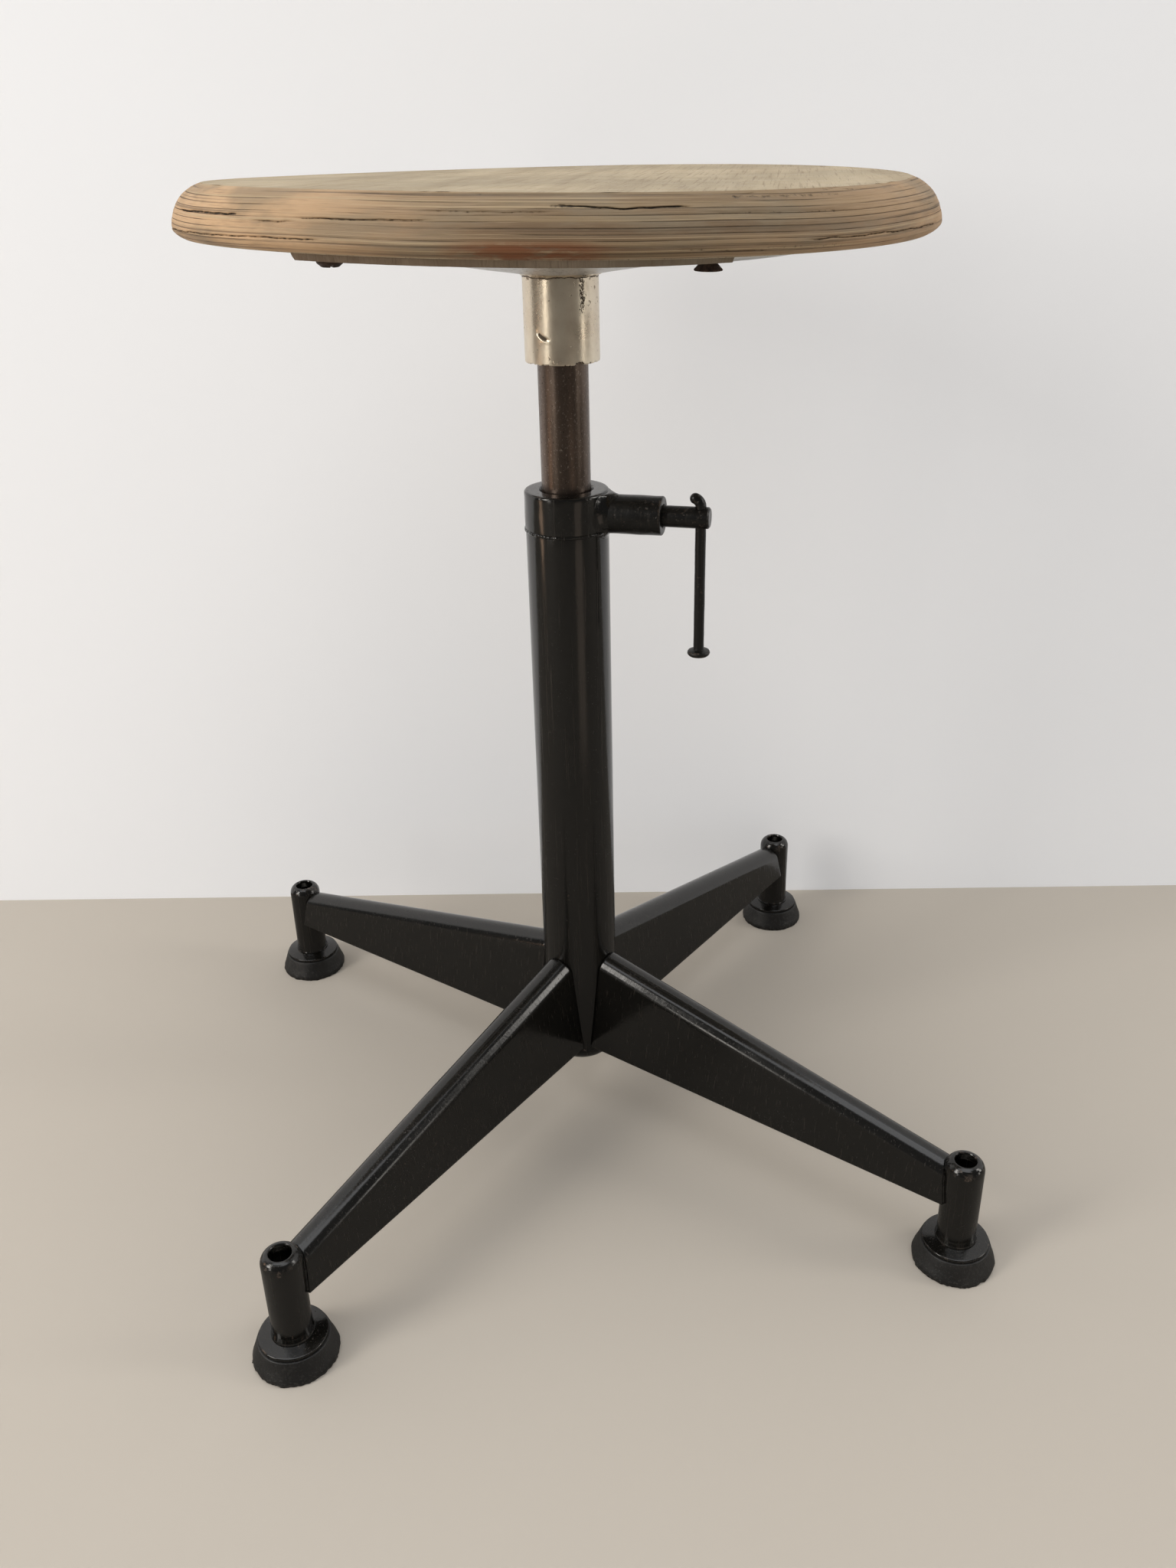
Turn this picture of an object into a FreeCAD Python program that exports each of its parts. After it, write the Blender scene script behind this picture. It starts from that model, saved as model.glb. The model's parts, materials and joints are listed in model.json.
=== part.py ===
import FreeCAD, Part
import math
import os

# Machinist's stool: a round plywood seat on a dished steel plate, a solid post
# that slides in a steel column, a clamp screw with a sliding tommy bar, and four
# pressed channel legs, each welded to a domed foot socket on a rubber foot.
# All sizes are in millimetres. The origin is on the floor under the column's
# axis, +Z is up, and the legs lie at 45 degrees to X and Y.

V = FreeCAD.Vector
up = V(0, 0, 1)
origin = V(0, 0, 0)

# Feet
foot_circle_radius = 256.0
rubber_base_radius = 23.1
rubber_top_radius = 18.9
rubber_height = 13.5
rubber_toe = 2.0
rubber_recess_radius = 14.6
rubber_recess_depth = 5.5
washer_radius = 18.1
washer_edge_height = 2.0
washer_crown = 1.5
washer_bevel = 0.7
socket_tube_radius = 10.65
socket_tube_wall = 2.2
socket_tube_length = 54.2
socket_dome_height = 6.0
socket_mouth_radius = 6.0
socket_flare = 0.9
socket_flare_height = 4.0
pin_length = 40.0
pin_head_radius = 13.8
pin_head_thickness = 2.5
pin_nose_chamfer = 1.2

# Legs: channels pressed from sheet, open below
leg_sheet = 2.0
leg_crown_radius_at_column = 7.4
leg_crown_radius_at_foot = 6.3
leg_foot_half_width_at_column = 13.0
leg_foot_half_width_at_foot = 8.6
leg_top_below_socket_top = 8.2
leg_depth_at_foot = 20.0
leg_top_rise = 50.0
leg_bottom_rise = 8.0

# Column
column_radius = 22.25
column_wall = 2.6
column_length = 332.0
column_below_legs = 3.0
plug_dome_height = 12.0
plug_flat_radius = 7.0
plug_spigot_height = 6.0

# Collar, its weld, and the boss of the clamp screw
collar_radius = 22.6
collar_height = 21.0
collar_edge_chamfer = 1.2
collar_spigot_length = 12.0
collar_mouth_radius = 14.5
collar_mouth_depth = 2.6
weld_groove_depth = 0.9
weld_groove_height = 1.1
weld_crown = 0.45
clamp_angle = -23.9
clamp_below_collar_top = 12.3
boss_radius = 10.3
boss_reach = 52.3
boss_chamfer = 1.4
boss_weld_leg = 5.5
boss_weld_hollow = 0.33

# Clamp screw, its pad and the tommy bar
screw_radius = 5.6
screw_reach = 77.0
screw_end_chamfer = 0.8
bar_hole_from_end = 4.9
pad_length = 5.0
pad_inset = 0.8
pad_gap = 0.15
bar_radius = 2.85
bar_length_below_screw = 70.6
bar_head_radius = 6.3
bar_head_thickness = 3.6
bar_head_round = 1.2
bar_bend_radius = 4.4
bar_bend_angle = 72.0
bar_rest_gap = 0.2

# Post and its guide sleeve
post_radius = 13.0
post_showing = 65.0
post_chamfer = 1.5
post_down_travel = 45.0
guide_length = 60.0
guide_chamfer = 1.5
guide_pin_radius = 3.0
guide_pin_above_end = 20.0
guide_pin_inset = 0.6

# Seat socket, its two bushes and the pivot
seat_tube_radius = 19.0
seat_tube_wall = 3.0
seat_tube_length = 46.3
bush_length = 15.0
bush_inset = 1.0
thrust_disc_thickness = 5.0
thrust_disc_below_tube_top = 3.3
thrust_gap = 0.1
pivot_bolt_radius = 5.0
pivot_bolt_depth = 30.0
pivot_head_across_flats = 17.0
pivot_head_height = 6.4
pivot_washer_radius = 11.0
pivot_washer_thickness = 2.0

# Seat plate
plate_radius = 120.0
plate_thickness = 4.0
plate_flange_width = 20.0
plate_hub_radius = 24.0
plate_dish_depth = 12.9
socket_weld_leg = 3.5
socket_weld_drop = 2.5
socket_weld_fullness = 0.55
seat_screw_from_plate_edge = 10.0
seat_screw_angle = 203.3
seat_screw_count = 4
loose_screw_index = 1
seat_screw_radius = 2.9
seat_screw_length = 18.0
seat_screw_head_radius = 5.9
seat_screw_head_height = 3.2
pan_flat_share = 0.72
pan_round_share = 0.94
pan_round_height_share = 0.35
loose_screw_head_radius = 6.2
loose_screw_head_height = 4.0
loose_screw_drop = 4.0

# Seat board and the ply below it
seat_radius = 180.0
seat_board_thickness = 22.3
seat_rim_inset = 15.0
seat_widest_below_top = 19.0
seat_side_point_inset = 6.4
seat_side_point_drop = 6.6
seat_lip_inset = 4.5
seat_lip_round_share = 0.3
ply_thickness = 3.0
ply_radius = 172.0
ply_edge_bevel = 2.4
ply_left_break = 103.5
ply_right_break = 65.4
ply_break_angle = -7.8
ply_margin_round_plate = 3.0

# Clearances
running_clearance = 0.06
guide_clearance = 0.3
screw_clearance = 0.08
bar_clearance = 0.3
bolt_clearance = 0.5
hole_clearance = 0.25
stop_gap = 0.5

# Heights, built up from the floor
washer_base = rubber_height
socket_base = washer_base + washer_edge_height + washer_crown
socket_top = socket_base + socket_tube_length
leg_foot_top = socket_top - leg_top_below_socket_top
leg_foot_bottom = leg_foot_top - leg_depth_at_foot
leg_column_top = leg_foot_top + leg_top_rise
leg_column_bottom = leg_foot_bottom + leg_bottom_rise
column_bottom = leg_column_bottom - column_below_legs
column_top = column_bottom + column_length
collar_top = column_top + collar_height
seat_tube_bottom = collar_top + post_showing
seat_tube_top = seat_tube_bottom + seat_tube_length
hub_top = seat_tube_top
hub_bottom = hub_top - plate_thickness
flange_bottom = hub_bottom + plate_dish_depth
flange_top = flange_bottom + plate_thickness
board_bottom = flange_top + ply_thickness
seat_top = board_bottom + seat_board_thickness
thrust_top = seat_tube_top - thrust_disc_below_tube_top
thrust_bottom = thrust_top - thrust_disc_thickness
post_top = thrust_bottom - thrust_gap
plug_top = column_bottom + plug_spigot_height
post_bottom = plug_top + stop_gap + post_down_travel

# Radii and reaches shared by parts that fit together
column_bore = column_radius - column_wall
guide_radius = column_bore - guide_clearance
collar_bore = post_radius + running_clearance
seat_tube_bore = seat_tube_radius - seat_tube_wall
socket_tube_bore = socket_tube_radius - socket_tube_wall
screw_bore = screw_radius + screw_clearance
clamp_height = collar_top - clamp_below_collar_top
bar_reach = screw_reach - bar_hole_from_end
seat_screw_circle_radius = plate_radius - seat_screw_from_plate_edge
pad_start = post_radius + pad_gap
pad_end = pad_start + pad_length
clamp_direction = V(math.cos(math.radians(clamp_angle)), math.sin(math.radians(clamp_angle)), 0)

corners = {
    "front_left": 225.0,
    "front_right": 315.0,
    "back_right": 45.0,
    "back_left": 135.0,
}


def save(name, *solids):
    shape = solids[0] if len(solids) == 1 else Part.makeCompound(list(solids))
    shape.exportStep(os.path.join("parts", name + ".step"))


def revolve(edges_or_points, centre=origin, axis=up):
    """Turn a closed profile in the XZ plane through a full circle."""
    items = list(edges_or_points)
    if isinstance(items[0], tuple):
        points = [V(r, 0, z) for r, z in items]
        wire = Part.makePolygon(points + [points[0]])
    else:
        wire = Part.Wire(items)
    solid = Part.Face(wire).revolve(origin, up, 360)
    if axis != up:
        solid.Placement = FreeCAD.Placement(origin, FreeCAD.Rotation(up, axis))
    solid.translate(centre)
    return solid


def line(a, b):
    return Part.LineSegment(V(a[0], 0, a[1]), V(b[0], 0, b[1])).toShape()


def arc(a, middle, b):
    return Part.Arc(V(a[0], 0, a[1]), V(middle[0], 0, middle[1]), V(b[0], 0, b[1])).toShape()


def cylinder(radius, bottom, top, centre=origin):
    return Part.makeCylinder(radius, top - bottom, V(centre.x, centre.y, bottom), up)


def along_clamp(radius, start, end):
    """A round bar on the clamp screw's axis, between two distances from the column's axis."""
    base = clamp_direction * start + V(0, 0, clamp_height)
    return Part.makeCylinder(radius, end - start, base, clamp_direction)


def polar(radius, degrees, height=0.0):
    angle = math.radians(degrees)
    return V(radius * math.cos(angle), radius * math.sin(angle), height)


def quarter_point(flat, tip):
    """The middle point of a quarter ellipse that runs from flat to tip."""
    share = math.sqrt(0.5)
    return (tip[0] + (flat[0] - tip[0]) * share, flat[1] + (tip[1] - flat[1]) * share)


# Feet

def rubber_foot(centre):
    """A tapered rubber ring, recessed below for the head of the foot pin."""
    return revolve([
        (rubber_recess_radius, 0),
        (rubber_base_radius, 0),
        (rubber_base_radius, rubber_toe),
        (rubber_top_radius, rubber_height),
        (socket_tube_bore, rubber_height),
        (socket_tube_bore, rubber_recess_depth),
        (rubber_recess_radius, rubber_recess_depth),
    ], centre)


def foot_washer(centre):
    """A steel washer with a low crown, which caps the rubber."""
    edge_top = washer_base + washer_edge_height
    return revolve([
        (socket_tube_bore, washer_base),
        (washer_radius, washer_base),
        (washer_radius, edge_top - washer_bevel),
        (washer_radius - washer_bevel, edge_top),
        (socket_tube_radius + socket_flare, socket_base),
        (socket_tube_bore, socket_base),
    ], centre)


def foot_pin(centre):
    """A headed pin through rubber and washer, pressed into the socket tube."""
    head_bottom = rubber_recess_depth - pin_head_thickness
    pin_top = rubber_recess_depth + pin_length
    return revolve([
        (0, head_bottom),
        (pin_head_radius, head_bottom),
        (pin_head_radius, rubber_recess_depth),
        (socket_tube_bore, rubber_recess_depth),
        (socket_tube_bore, pin_top - pin_nose_chamfer),
        (socket_tube_bore - pin_nose_chamfer, pin_top),
        (0, pin_top),
    ], centre)


def foot_socket(centre):
    """A tube whose top is spun in to a dome with an open mouth, flared where it meets the washer."""
    outer_shoulder = (socket_tube_radius, socket_top - socket_dome_height)
    outer_mouth = (socket_mouth_radius, socket_top)
    inner_shoulder = (socket_tube_bore, socket_top - socket_dome_height)
    inner_mouth = (socket_mouth_radius, socket_top - socket_tube_wall)
    return revolve([
        line((socket_tube_bore, socket_base), (socket_tube_radius + socket_flare, socket_base)),
        line((socket_tube_radius + socket_flare, socket_base),
             (socket_tube_radius, socket_base + socket_flare_height)),
        line((socket_tube_radius, socket_base + socket_flare_height), outer_shoulder),
        arc(outer_shoulder, quarter_point(outer_shoulder, outer_mouth), outer_mouth),
        line(outer_mouth, inner_mouth),
        arc(inner_mouth, quarter_point(inner_shoulder, inner_mouth), inner_shoulder),
        line(inner_shoulder, (socket_tube_bore, socket_base)),
    ], centre)


# Legs

def channel_section(reach, crown_radius, top, bottom, half_width):
    """A closed outline across a leg: a round crown with straight sides tangent to it, splayed downwards."""
    crown_height = top - crown_radius
    drop = bottom - crown_height
    distance = math.hypot(half_width, drop)
    angle = math.atan2(drop, half_width) + math.acos(crown_radius / distance)
    side = crown_radius * math.cos(angle)
    shoulder = crown_height + crown_radius * math.sin(angle)
    left_foot = V(reach, -half_width, bottom)
    left_shoulder = V(reach, -side, shoulder)
    crown = V(reach, 0, top)
    right_shoulder = V(reach, side, shoulder)
    right_foot = V(reach, half_width, bottom)
    return Part.Wire([
        Part.LineSegment(left_foot, left_shoulder).toShape(),
        Part.Arc(left_shoulder, crown, right_shoulder).toShape(),
        Part.LineSegment(right_shoulder, right_foot).toShape(),
        Part.LineSegment(right_foot, left_foot).toShape(),
    ])


def leg_loft(inset, extra_depth):
    """The leg as a solid taper from the column's axis to the foot's axis, inset by a sheet thickness."""
    start = column_bore
    span = foot_circle_radius - column_radius
    share = (column_radius - start) / span
    top_slope = leg_top_rise * share
    bottom_slope = leg_bottom_rise * share
    near = channel_section(
        start,
        leg_crown_radius_at_column - inset,
        leg_column_top + top_slope - inset,
        leg_column_bottom + bottom_slope - extra_depth,
        leg_foot_half_width_at_column - inset)
    far = channel_section(
        foot_circle_radius,
        leg_crown_radius_at_foot - inset,
        leg_foot_top - inset,
        leg_foot_bottom - extra_depth,
        leg_foot_half_width_at_foot - inset)
    return Part.makeLoft([near, far], True, True)


def leg(degrees):
    """A pressed channel, saddle-cut where it is welded to the column and to its foot socket."""
    shell = leg_loft(0, 0).cut(leg_loft(leg_sheet, leg_sheet))
    shell = shell.cut(cylinder(column_radius, 0, collar_top))
    shell = shell.cut(cylinder(socket_tube_radius, 0, collar_top, V(foot_circle_radius, 0, 0)))
    shell.rotate(origin, up, degrees)
    return shell.Solids[0]


# Column

def column_tube():
    """The main tube, bevelled at its top for the collar's weld."""
    return revolve([
        (column_bore, column_bottom),
        (column_radius, column_bottom),
        (column_radius, column_top - weld_groove_height),
        (column_radius - weld_groove_depth, column_top),
        (column_bore, column_top),
    ])


def column_plug():
    """A domed plug that closes the column's foot and stops the post."""
    rim = (column_radius, column_bottom)
    tip = (plug_flat_radius, column_bottom - plug_dome_height)
    return revolve([
        line((0, plug_top), (0, tip[1])),
        line((0, tip[1]), tip),
        arc(tip, quarter_point(rim, tip), rim),
        line(rim, (column_bore, column_bottom)),
        line((column_bore, column_bottom), (column_bore, plug_top)),
        line((column_bore, plug_top), (0, plug_top)),
    ])


def clamp_collar():
    """A turned collar that guides the post, with a spigot in the column and a bore for the clamp screw."""
    spigot_bottom = column_top - collar_spigot_length
    body = revolve([
        (collar_bore, spigot_bottom),
        (column_bore, spigot_bottom),
        (column_bore, column_top),
        (column_radius - weld_groove_depth, column_top),
        (collar_radius, column_top + weld_groove_height),
        (collar_radius, collar_top - collar_edge_chamfer),
        (collar_radius - collar_edge_chamfer, collar_top),
        (collar_mouth_radius, collar_top),
        (collar_bore, collar_top - collar_mouth_depth),
    ])
    return body.cut(along_clamp(screw_bore, 0, boss_reach))


def collar_weld():
    """The bead that fills the groove between tube and collar and stands a little proud, save under the boss."""
    root = (column_radius - weld_groove_depth, column_top)
    low = (column_radius, column_top - weld_groove_height)
    high = (collar_radius, column_top + weld_groove_height)
    crest = (max(column_radius, collar_radius) + weld_crown, column_top)
    bead = revolve([line(root, low), arc(low, crest, high), line(high, root)])
    return bead.cut(boss_tube()).Solids[0]


def boss_tube():
    """The threaded boss of the clamp screw, saddle-cut on the collar."""
    solid = revolve([
        (screw_bore, post_radius),
        (boss_radius, post_radius),
        (boss_radius, boss_reach - boss_chamfer),
        (boss_radius - boss_chamfer, boss_reach),
        (screw_bore, boss_reach),
    ], V(0, 0, clamp_height), clamp_direction)
    return solid.cut(cylinder(collar_radius, column_bottom, seat_tube_bottom)).Solids[0]


def boss_weld():
    """The hollow fillet that blends the boss into the collar, level with the collar's top."""
    start = collar_radius
    root = (boss_radius, start + boss_weld_leg)
    toe = (boss_radius + boss_weld_leg, start)
    inside = (boss_radius, post_radius)
    outside = (boss_radius + boss_weld_leg, post_radius)
    hollow = (boss_radius + boss_weld_leg * boss_weld_hollow, start + boss_weld_leg * boss_weld_hollow)
    ring = revolve([
        line(inside, root),
        arc(root, hollow, toe),
        line(toe, outside),
        line(outside, inside),
    ], V(0, 0, clamp_height), clamp_direction)
    ring = ring.cut(cylinder(collar_radius, column_bottom, seat_tube_bottom))
    band = cylinder(foot_circle_radius, column_top + weld_groove_height, collar_top - collar_edge_chamfer)
    return ring.common(band)


# Clamp screw, pad and tommy bar

def pressure_pad():
    """A short brass pad between the screw's tip and the post."""
    return along_clamp(screw_radius - pad_inset, pad_start, pad_end)


def clamp_screw():
    """A round screw with bevelled ends and a cross hole for the tommy bar."""
    solid = revolve([
        (0, pad_end),
        (screw_radius - screw_end_chamfer, pad_end),
        (screw_radius, pad_end + screw_end_chamfer),
        (screw_radius, screw_reach - screw_end_chamfer),
        (screw_radius - screw_end_chamfer, screw_reach),
        (0, screw_reach),
    ], V(0, 0, clamp_height), clamp_direction)
    cross_hole = cylinder(
        bar_radius + bar_clearance,
        clamp_height - 2 * screw_radius,
        clamp_height + 2 * screw_radius,
        clamp_direction * bar_reach)
    return solid.cut(cross_hole)


def tommy_bar():
    """A round bar with an upset head below and its upper end bent over, so that it can't drop out."""
    centre = clamp_direction * bar_reach
    bend_start = clamp_height + screw_radius + bar_rest_gap
    bottom = clamp_height - screw_radius - bar_length_below_screw
    shank_bottom = bottom + bar_head_thickness
    head = revolve([
        (0, bottom),
        (bar_head_radius - bar_head_round, bottom),
        (bar_head_radius, bottom + bar_head_round),
        (bar_head_radius, shank_bottom - bar_head_round),
        (bar_head_radius - bar_head_round, shank_bottom),
        (0, shank_bottom),
    ], centre)
    shank = cylinder(bar_radius, shank_bottom, bend_start, centre)
    start = centre + V(0, 0, bend_start)
    bend_centre = start - clamp_direction * bar_bend_radius
    turn_axis = clamp_direction.cross(up)
    section = Part.Face(Part.Wire(Part.makeCircle(bar_radius, start, up)))
    bend = section.revolve(bend_centre, turn_axis, bar_bend_angle)
    end_turn = math.radians(bar_bend_angle)
    end = bend_centre + (clamp_direction * math.cos(end_turn) + up * math.sin(end_turn)) * bar_bend_radius
    tip = Part.makeSphere(bar_radius, end)
    return head.fuse([shank, bend, tip]).removeSplitter().Solids[0]


# Post

def guide_pin_axis_height():
    return post_bottom + guide_pin_above_end


def guide_pin():
    """A cross pin that holds the guide sleeve on the post."""
    length = 2 * (guide_radius - guide_pin_inset)
    base = V(-length / 2, 0, guide_pin_axis_height())
    return Part.makeCylinder(guide_pin_radius, length, base, V(1, 0, 0))


def post():
    """A solid bar with a hole in its top for the pivot bolt and a cross hole near its foot."""
    bar = revolve([
        (0, post_bottom),
        (post_radius - post_chamfer, post_bottom),
        (post_radius, post_bottom + post_chamfer),
        (post_radius, post_top - post_chamfer),
        (post_radius - post_chamfer, post_top),
        (0, post_top),
    ])
    bolt_hole = cylinder(pivot_bolt_radius, post_top - pivot_bolt_depth, seat_top)
    return bar.cut(bolt_hole).cut(guide_pin())


def guide_sleeve():
    """A sleeve pinned on the post's foot, which runs in the column."""
    bottom = post_bottom + post_chamfer
    top = bottom + guide_length
    sleeve = revolve([
        (post_radius, bottom),
        (guide_radius - guide_chamfer, bottom),
        (guide_radius, bottom + guide_chamfer),
        (guide_radius, top - guide_chamfer),
        (guide_radius - guide_chamfer, top),
        (post_radius, top),
    ])
    return sleeve.cut(guide_pin())


def pivot_washer():
    """The washer under the bolt's head, which keeps the seat on the post."""
    bottom = thrust_top + thrust_gap
    return revolve([
        (pivot_bolt_radius, bottom),
        (pivot_washer_radius, bottom),
        (pivot_washer_radius, bottom + pivot_washer_thickness),
        (pivot_bolt_radius, bottom + pivot_washer_thickness),
    ])


def pivot_bolt():
    """A hexagon bolt down the post's axis."""
    head_bottom = thrust_top + thrust_gap + pivot_washer_thickness
    corner_radius = pivot_head_across_flats / 2 / math.cos(math.radians(30))
    flats = [polar(corner_radius, 60 * k, head_bottom) for k in range(6)]
    head = Part.Face(Part.makePolygon(flats + [flats[0]])).extrude(V(0, 0, pivot_head_height))
    shank = cylinder(pivot_bolt_radius, post_top - pivot_bolt_depth, head_bottom)
    return head.fuse(shank).Solids[0]


# Seat socket

def seat_tube():
    """The tube that hangs from the seat plate and turns about the post."""
    return revolve([
        (seat_tube_bore, seat_tube_bottom),
        (seat_tube_radius, seat_tube_bottom),
        (seat_tube_radius, seat_tube_top),
        (seat_tube_bore, seat_tube_top),
    ])


def swivel_bush(bottom):
    """A bronze bush pressed in the seat tube, free to turn on the post."""
    inner = post_radius + running_clearance
    return revolve([
        (inner, bottom),
        (seat_tube_bore, bottom),
        (seat_tube_bore, bottom + bush_length),
        (inner, bottom + bush_length),
    ])


def thrust_disc():
    """The disc that carries the seat's weight on the end of the post."""
    bore = pivot_bolt_radius + bolt_clearance
    return revolve([
        (bore, thrust_bottom),
        (seat_tube_bore, thrust_bottom),
        (seat_tube_bore, thrust_top),
        (bore, thrust_top),
    ])


# Seat plate, screws and seat

def seat_screw_places():
    step = 360.0 / seat_screw_count
    return [polar(seat_screw_circle_radius, seat_screw_angle + step * k) for k in range(seat_screw_count)]


def seat_plate():
    """A round steel plate pressed to a shallow cone, with a flat flange and a flat hub round the tube."""
    flange_start = plate_radius - plate_flange_width
    disc = revolve([
        (seat_tube_radius, hub_bottom),
        (plate_hub_radius, hub_bottom),
        (flange_start, flange_bottom),
        (plate_radius, flange_bottom),
        (plate_radius, flange_top),
        (flange_start, flange_top),
        (plate_hub_radius, hub_top),
        (seat_tube_radius, hub_top),
    ])
    for place in seat_screw_places():
        disc = disc.cut(cylinder(seat_screw_radius + hole_clearance, flange_bottom, flange_top, place))
    return disc


def socket_weld():
    """The fillet bead between the plate's hub and the seat tube."""
    toe = (seat_tube_radius + socket_weld_leg, hub_bottom)
    root = (seat_tube_radius, hub_bottom)
    low = (seat_tube_radius, hub_bottom - socket_weld_drop)
    middle = (
        seat_tube_radius + socket_weld_leg * socket_weld_fullness,
        hub_bottom - socket_weld_drop * socket_weld_fullness)
    return revolve([line(root, toe), arc(toe, middle, low), line(low, root)])


def seat_screw_tip():
    return flange_bottom + seat_screw_length


def pan_screw(place):
    """A wood screw with a low pan head, driven up through the plate."""
    head_low = flange_bottom - seat_screw_head_height
    flat = (seat_screw_head_radius * pan_flat_share, head_low)
    middle = (
        seat_screw_head_radius * pan_round_share,
        head_low + seat_screw_head_height * pan_round_height_share)
    return revolve([
        line((0, head_low), flat),
        arc(flat, middle, (seat_screw_head_radius, flange_bottom)),
        line((seat_screw_head_radius, flange_bottom), (seat_screw_radius, flange_bottom)),
        line((seat_screw_radius, flange_bottom), (seat_screw_radius, seat_screw_tip())),
        line((seat_screw_radius, seat_screw_tip()), (0, seat_screw_tip())),
        line((0, seat_screw_tip()), (0, head_low)),
    ], place)


def countersunk_screw(place):
    """A countersunk wood screw that has backed out, so that its head hangs below the plate."""
    face = flange_bottom - loose_screw_drop
    neck = face + loose_screw_head_height
    tip = face + seat_screw_length
    return revolve([
        (0, face),
        (loose_screw_head_radius, face),
        (seat_screw_radius, neck),
        (seat_screw_radius, tip),
        (0, tip),
    ], place)


def bored_for_screws(board):
    for place in seat_screw_places():
        board = board.cut(cylinder(seat_screw_radius, flange_bottom, seat_screw_tip(), place))
    return board


def seat_board():
    """A plywood disc, widest low on its edge, domed in to a crisp rim and rounded below."""
    rim = (seat_radius - seat_rim_inset, seat_top)
    side = (seat_radius - seat_side_point_inset, seat_top - seat_side_point_drop)
    widest = (seat_radius, seat_top - seat_widest_below_top)
    lip = (seat_radius - seat_lip_inset, board_bottom)
    lip_side = (
        seat_radius - seat_lip_inset * seat_lip_round_share,
        board_bottom + (widest[1] - board_bottom) * seat_lip_round_share)
    board = revolve([
        line((0, board_bottom), lip),
        arc(lip, lip_side, widest),
        arc(widest, side, rim),
        line(rim, (0, seat_top)),
        line((0, seat_top), (0, board_bottom)),
    ])
    return bored_for_screws(board)


def bottom_ply():
    """The seat's lowest ply, broken away along the grain on two sides but whole round the plate."""
    whole = revolve([
        (0, flange_top),
        (ply_radius, flange_top),
        (ply_radius + ply_edge_bevel, board_bottom),
        (0, board_bottom),
    ])
    span = 2 * seat_radius
    band = Part.makeBox(
        ply_left_break + ply_right_break, span, ply_thickness,
        V(-ply_left_break, -seat_radius, flange_top))
    band.rotate(origin, up, ply_break_angle)
    heart = cylinder(plate_radius + ply_margin_round_plate, flange_top, board_bottom)
    ply = whole.common(band.fuse(heart)).removeSplitter()
    return bored_for_screws(ply)


def build():
    os.makedirs("parts", exist_ok=True)

    for corner, degrees in corners.items():
        centre = polar(foot_circle_radius, degrees)
        save("rubber_foot_" + corner, rubber_foot(centre))
        save("foot_washer_" + corner, foot_washer(centre))
        save("foot_pin_" + corner, foot_pin(centre))
        save("foot_socket_" + corner, foot_socket(centre))
        save("leg_" + corner, leg(degrees))

    save("column_tube", column_tube())
    save("column_plug", column_plug())
    save("clamp_collar", clamp_collar())
    save("collar_weld", collar_weld())
    save("clamp_boss", boss_tube())
    save("boss_weld", *boss_weld().Solids)
    save("pressure_pad", pressure_pad())
    save("clamp_screw", clamp_screw())
    save("tommy_bar", tommy_bar())

    save("post", post())
    save("guide_sleeve", guide_sleeve())
    save("guide_pin", guide_pin())
    save("pivot_washer", pivot_washer())
    save("pivot_bolt", pivot_bolt())

    save("seat_tube", seat_tube())
    save("swivel_bush_lower", swivel_bush(seat_tube_bottom + bush_inset))
    save("swivel_bush_upper", swivel_bush(thrust_bottom - bush_length))
    save("thrust_disc", thrust_disc())
    save("seat_plate", seat_plate())
    save("socket_weld", socket_weld())

    places = seat_screw_places()
    loose = places.pop(loose_screw_index)
    save("seat_screws", *[pan_screw(place) for place in places])
    save("loose_screw", countersunk_screw(loose))
    save("bottom_ply", bottom_ply())
    save("seat_board", seat_board())


build()
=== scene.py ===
import json
import math

import bpy
import numpy as np
from mathutils import Matrix, Vector


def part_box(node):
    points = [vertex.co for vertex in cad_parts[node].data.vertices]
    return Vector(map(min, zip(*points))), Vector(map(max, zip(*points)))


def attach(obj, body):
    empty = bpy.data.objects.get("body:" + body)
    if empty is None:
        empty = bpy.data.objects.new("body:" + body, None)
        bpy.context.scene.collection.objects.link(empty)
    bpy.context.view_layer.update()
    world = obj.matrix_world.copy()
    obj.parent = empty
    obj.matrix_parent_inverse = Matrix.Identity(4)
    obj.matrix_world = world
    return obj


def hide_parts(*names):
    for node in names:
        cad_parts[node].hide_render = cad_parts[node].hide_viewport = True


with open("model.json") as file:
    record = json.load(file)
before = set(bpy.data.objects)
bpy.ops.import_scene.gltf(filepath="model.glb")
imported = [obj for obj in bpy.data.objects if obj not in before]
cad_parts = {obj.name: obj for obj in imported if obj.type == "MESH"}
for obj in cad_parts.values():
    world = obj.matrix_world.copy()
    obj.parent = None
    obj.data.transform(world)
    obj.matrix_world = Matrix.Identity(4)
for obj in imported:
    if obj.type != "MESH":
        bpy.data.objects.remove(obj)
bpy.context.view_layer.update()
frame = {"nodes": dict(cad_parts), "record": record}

# All shapes are worked out in millimetres and turned to metres when their mesh is made.
mm = 0.001
fullTurn = 2 * math.pi
corners = ("front_left", "front_right", "back_right", "back_left")


def boxOf(node):
    low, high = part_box(node)
    return np.array(low) / mm, np.array(high) / mm


def middleOf(node):
    low, high = boxOf(node)
    return (low + high) / 2


def levelsOf(node):
    low, high = boxOf(node)
    return low[2], high[2]


# Numbers for the eye: smooth noise on whole arrays

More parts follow.
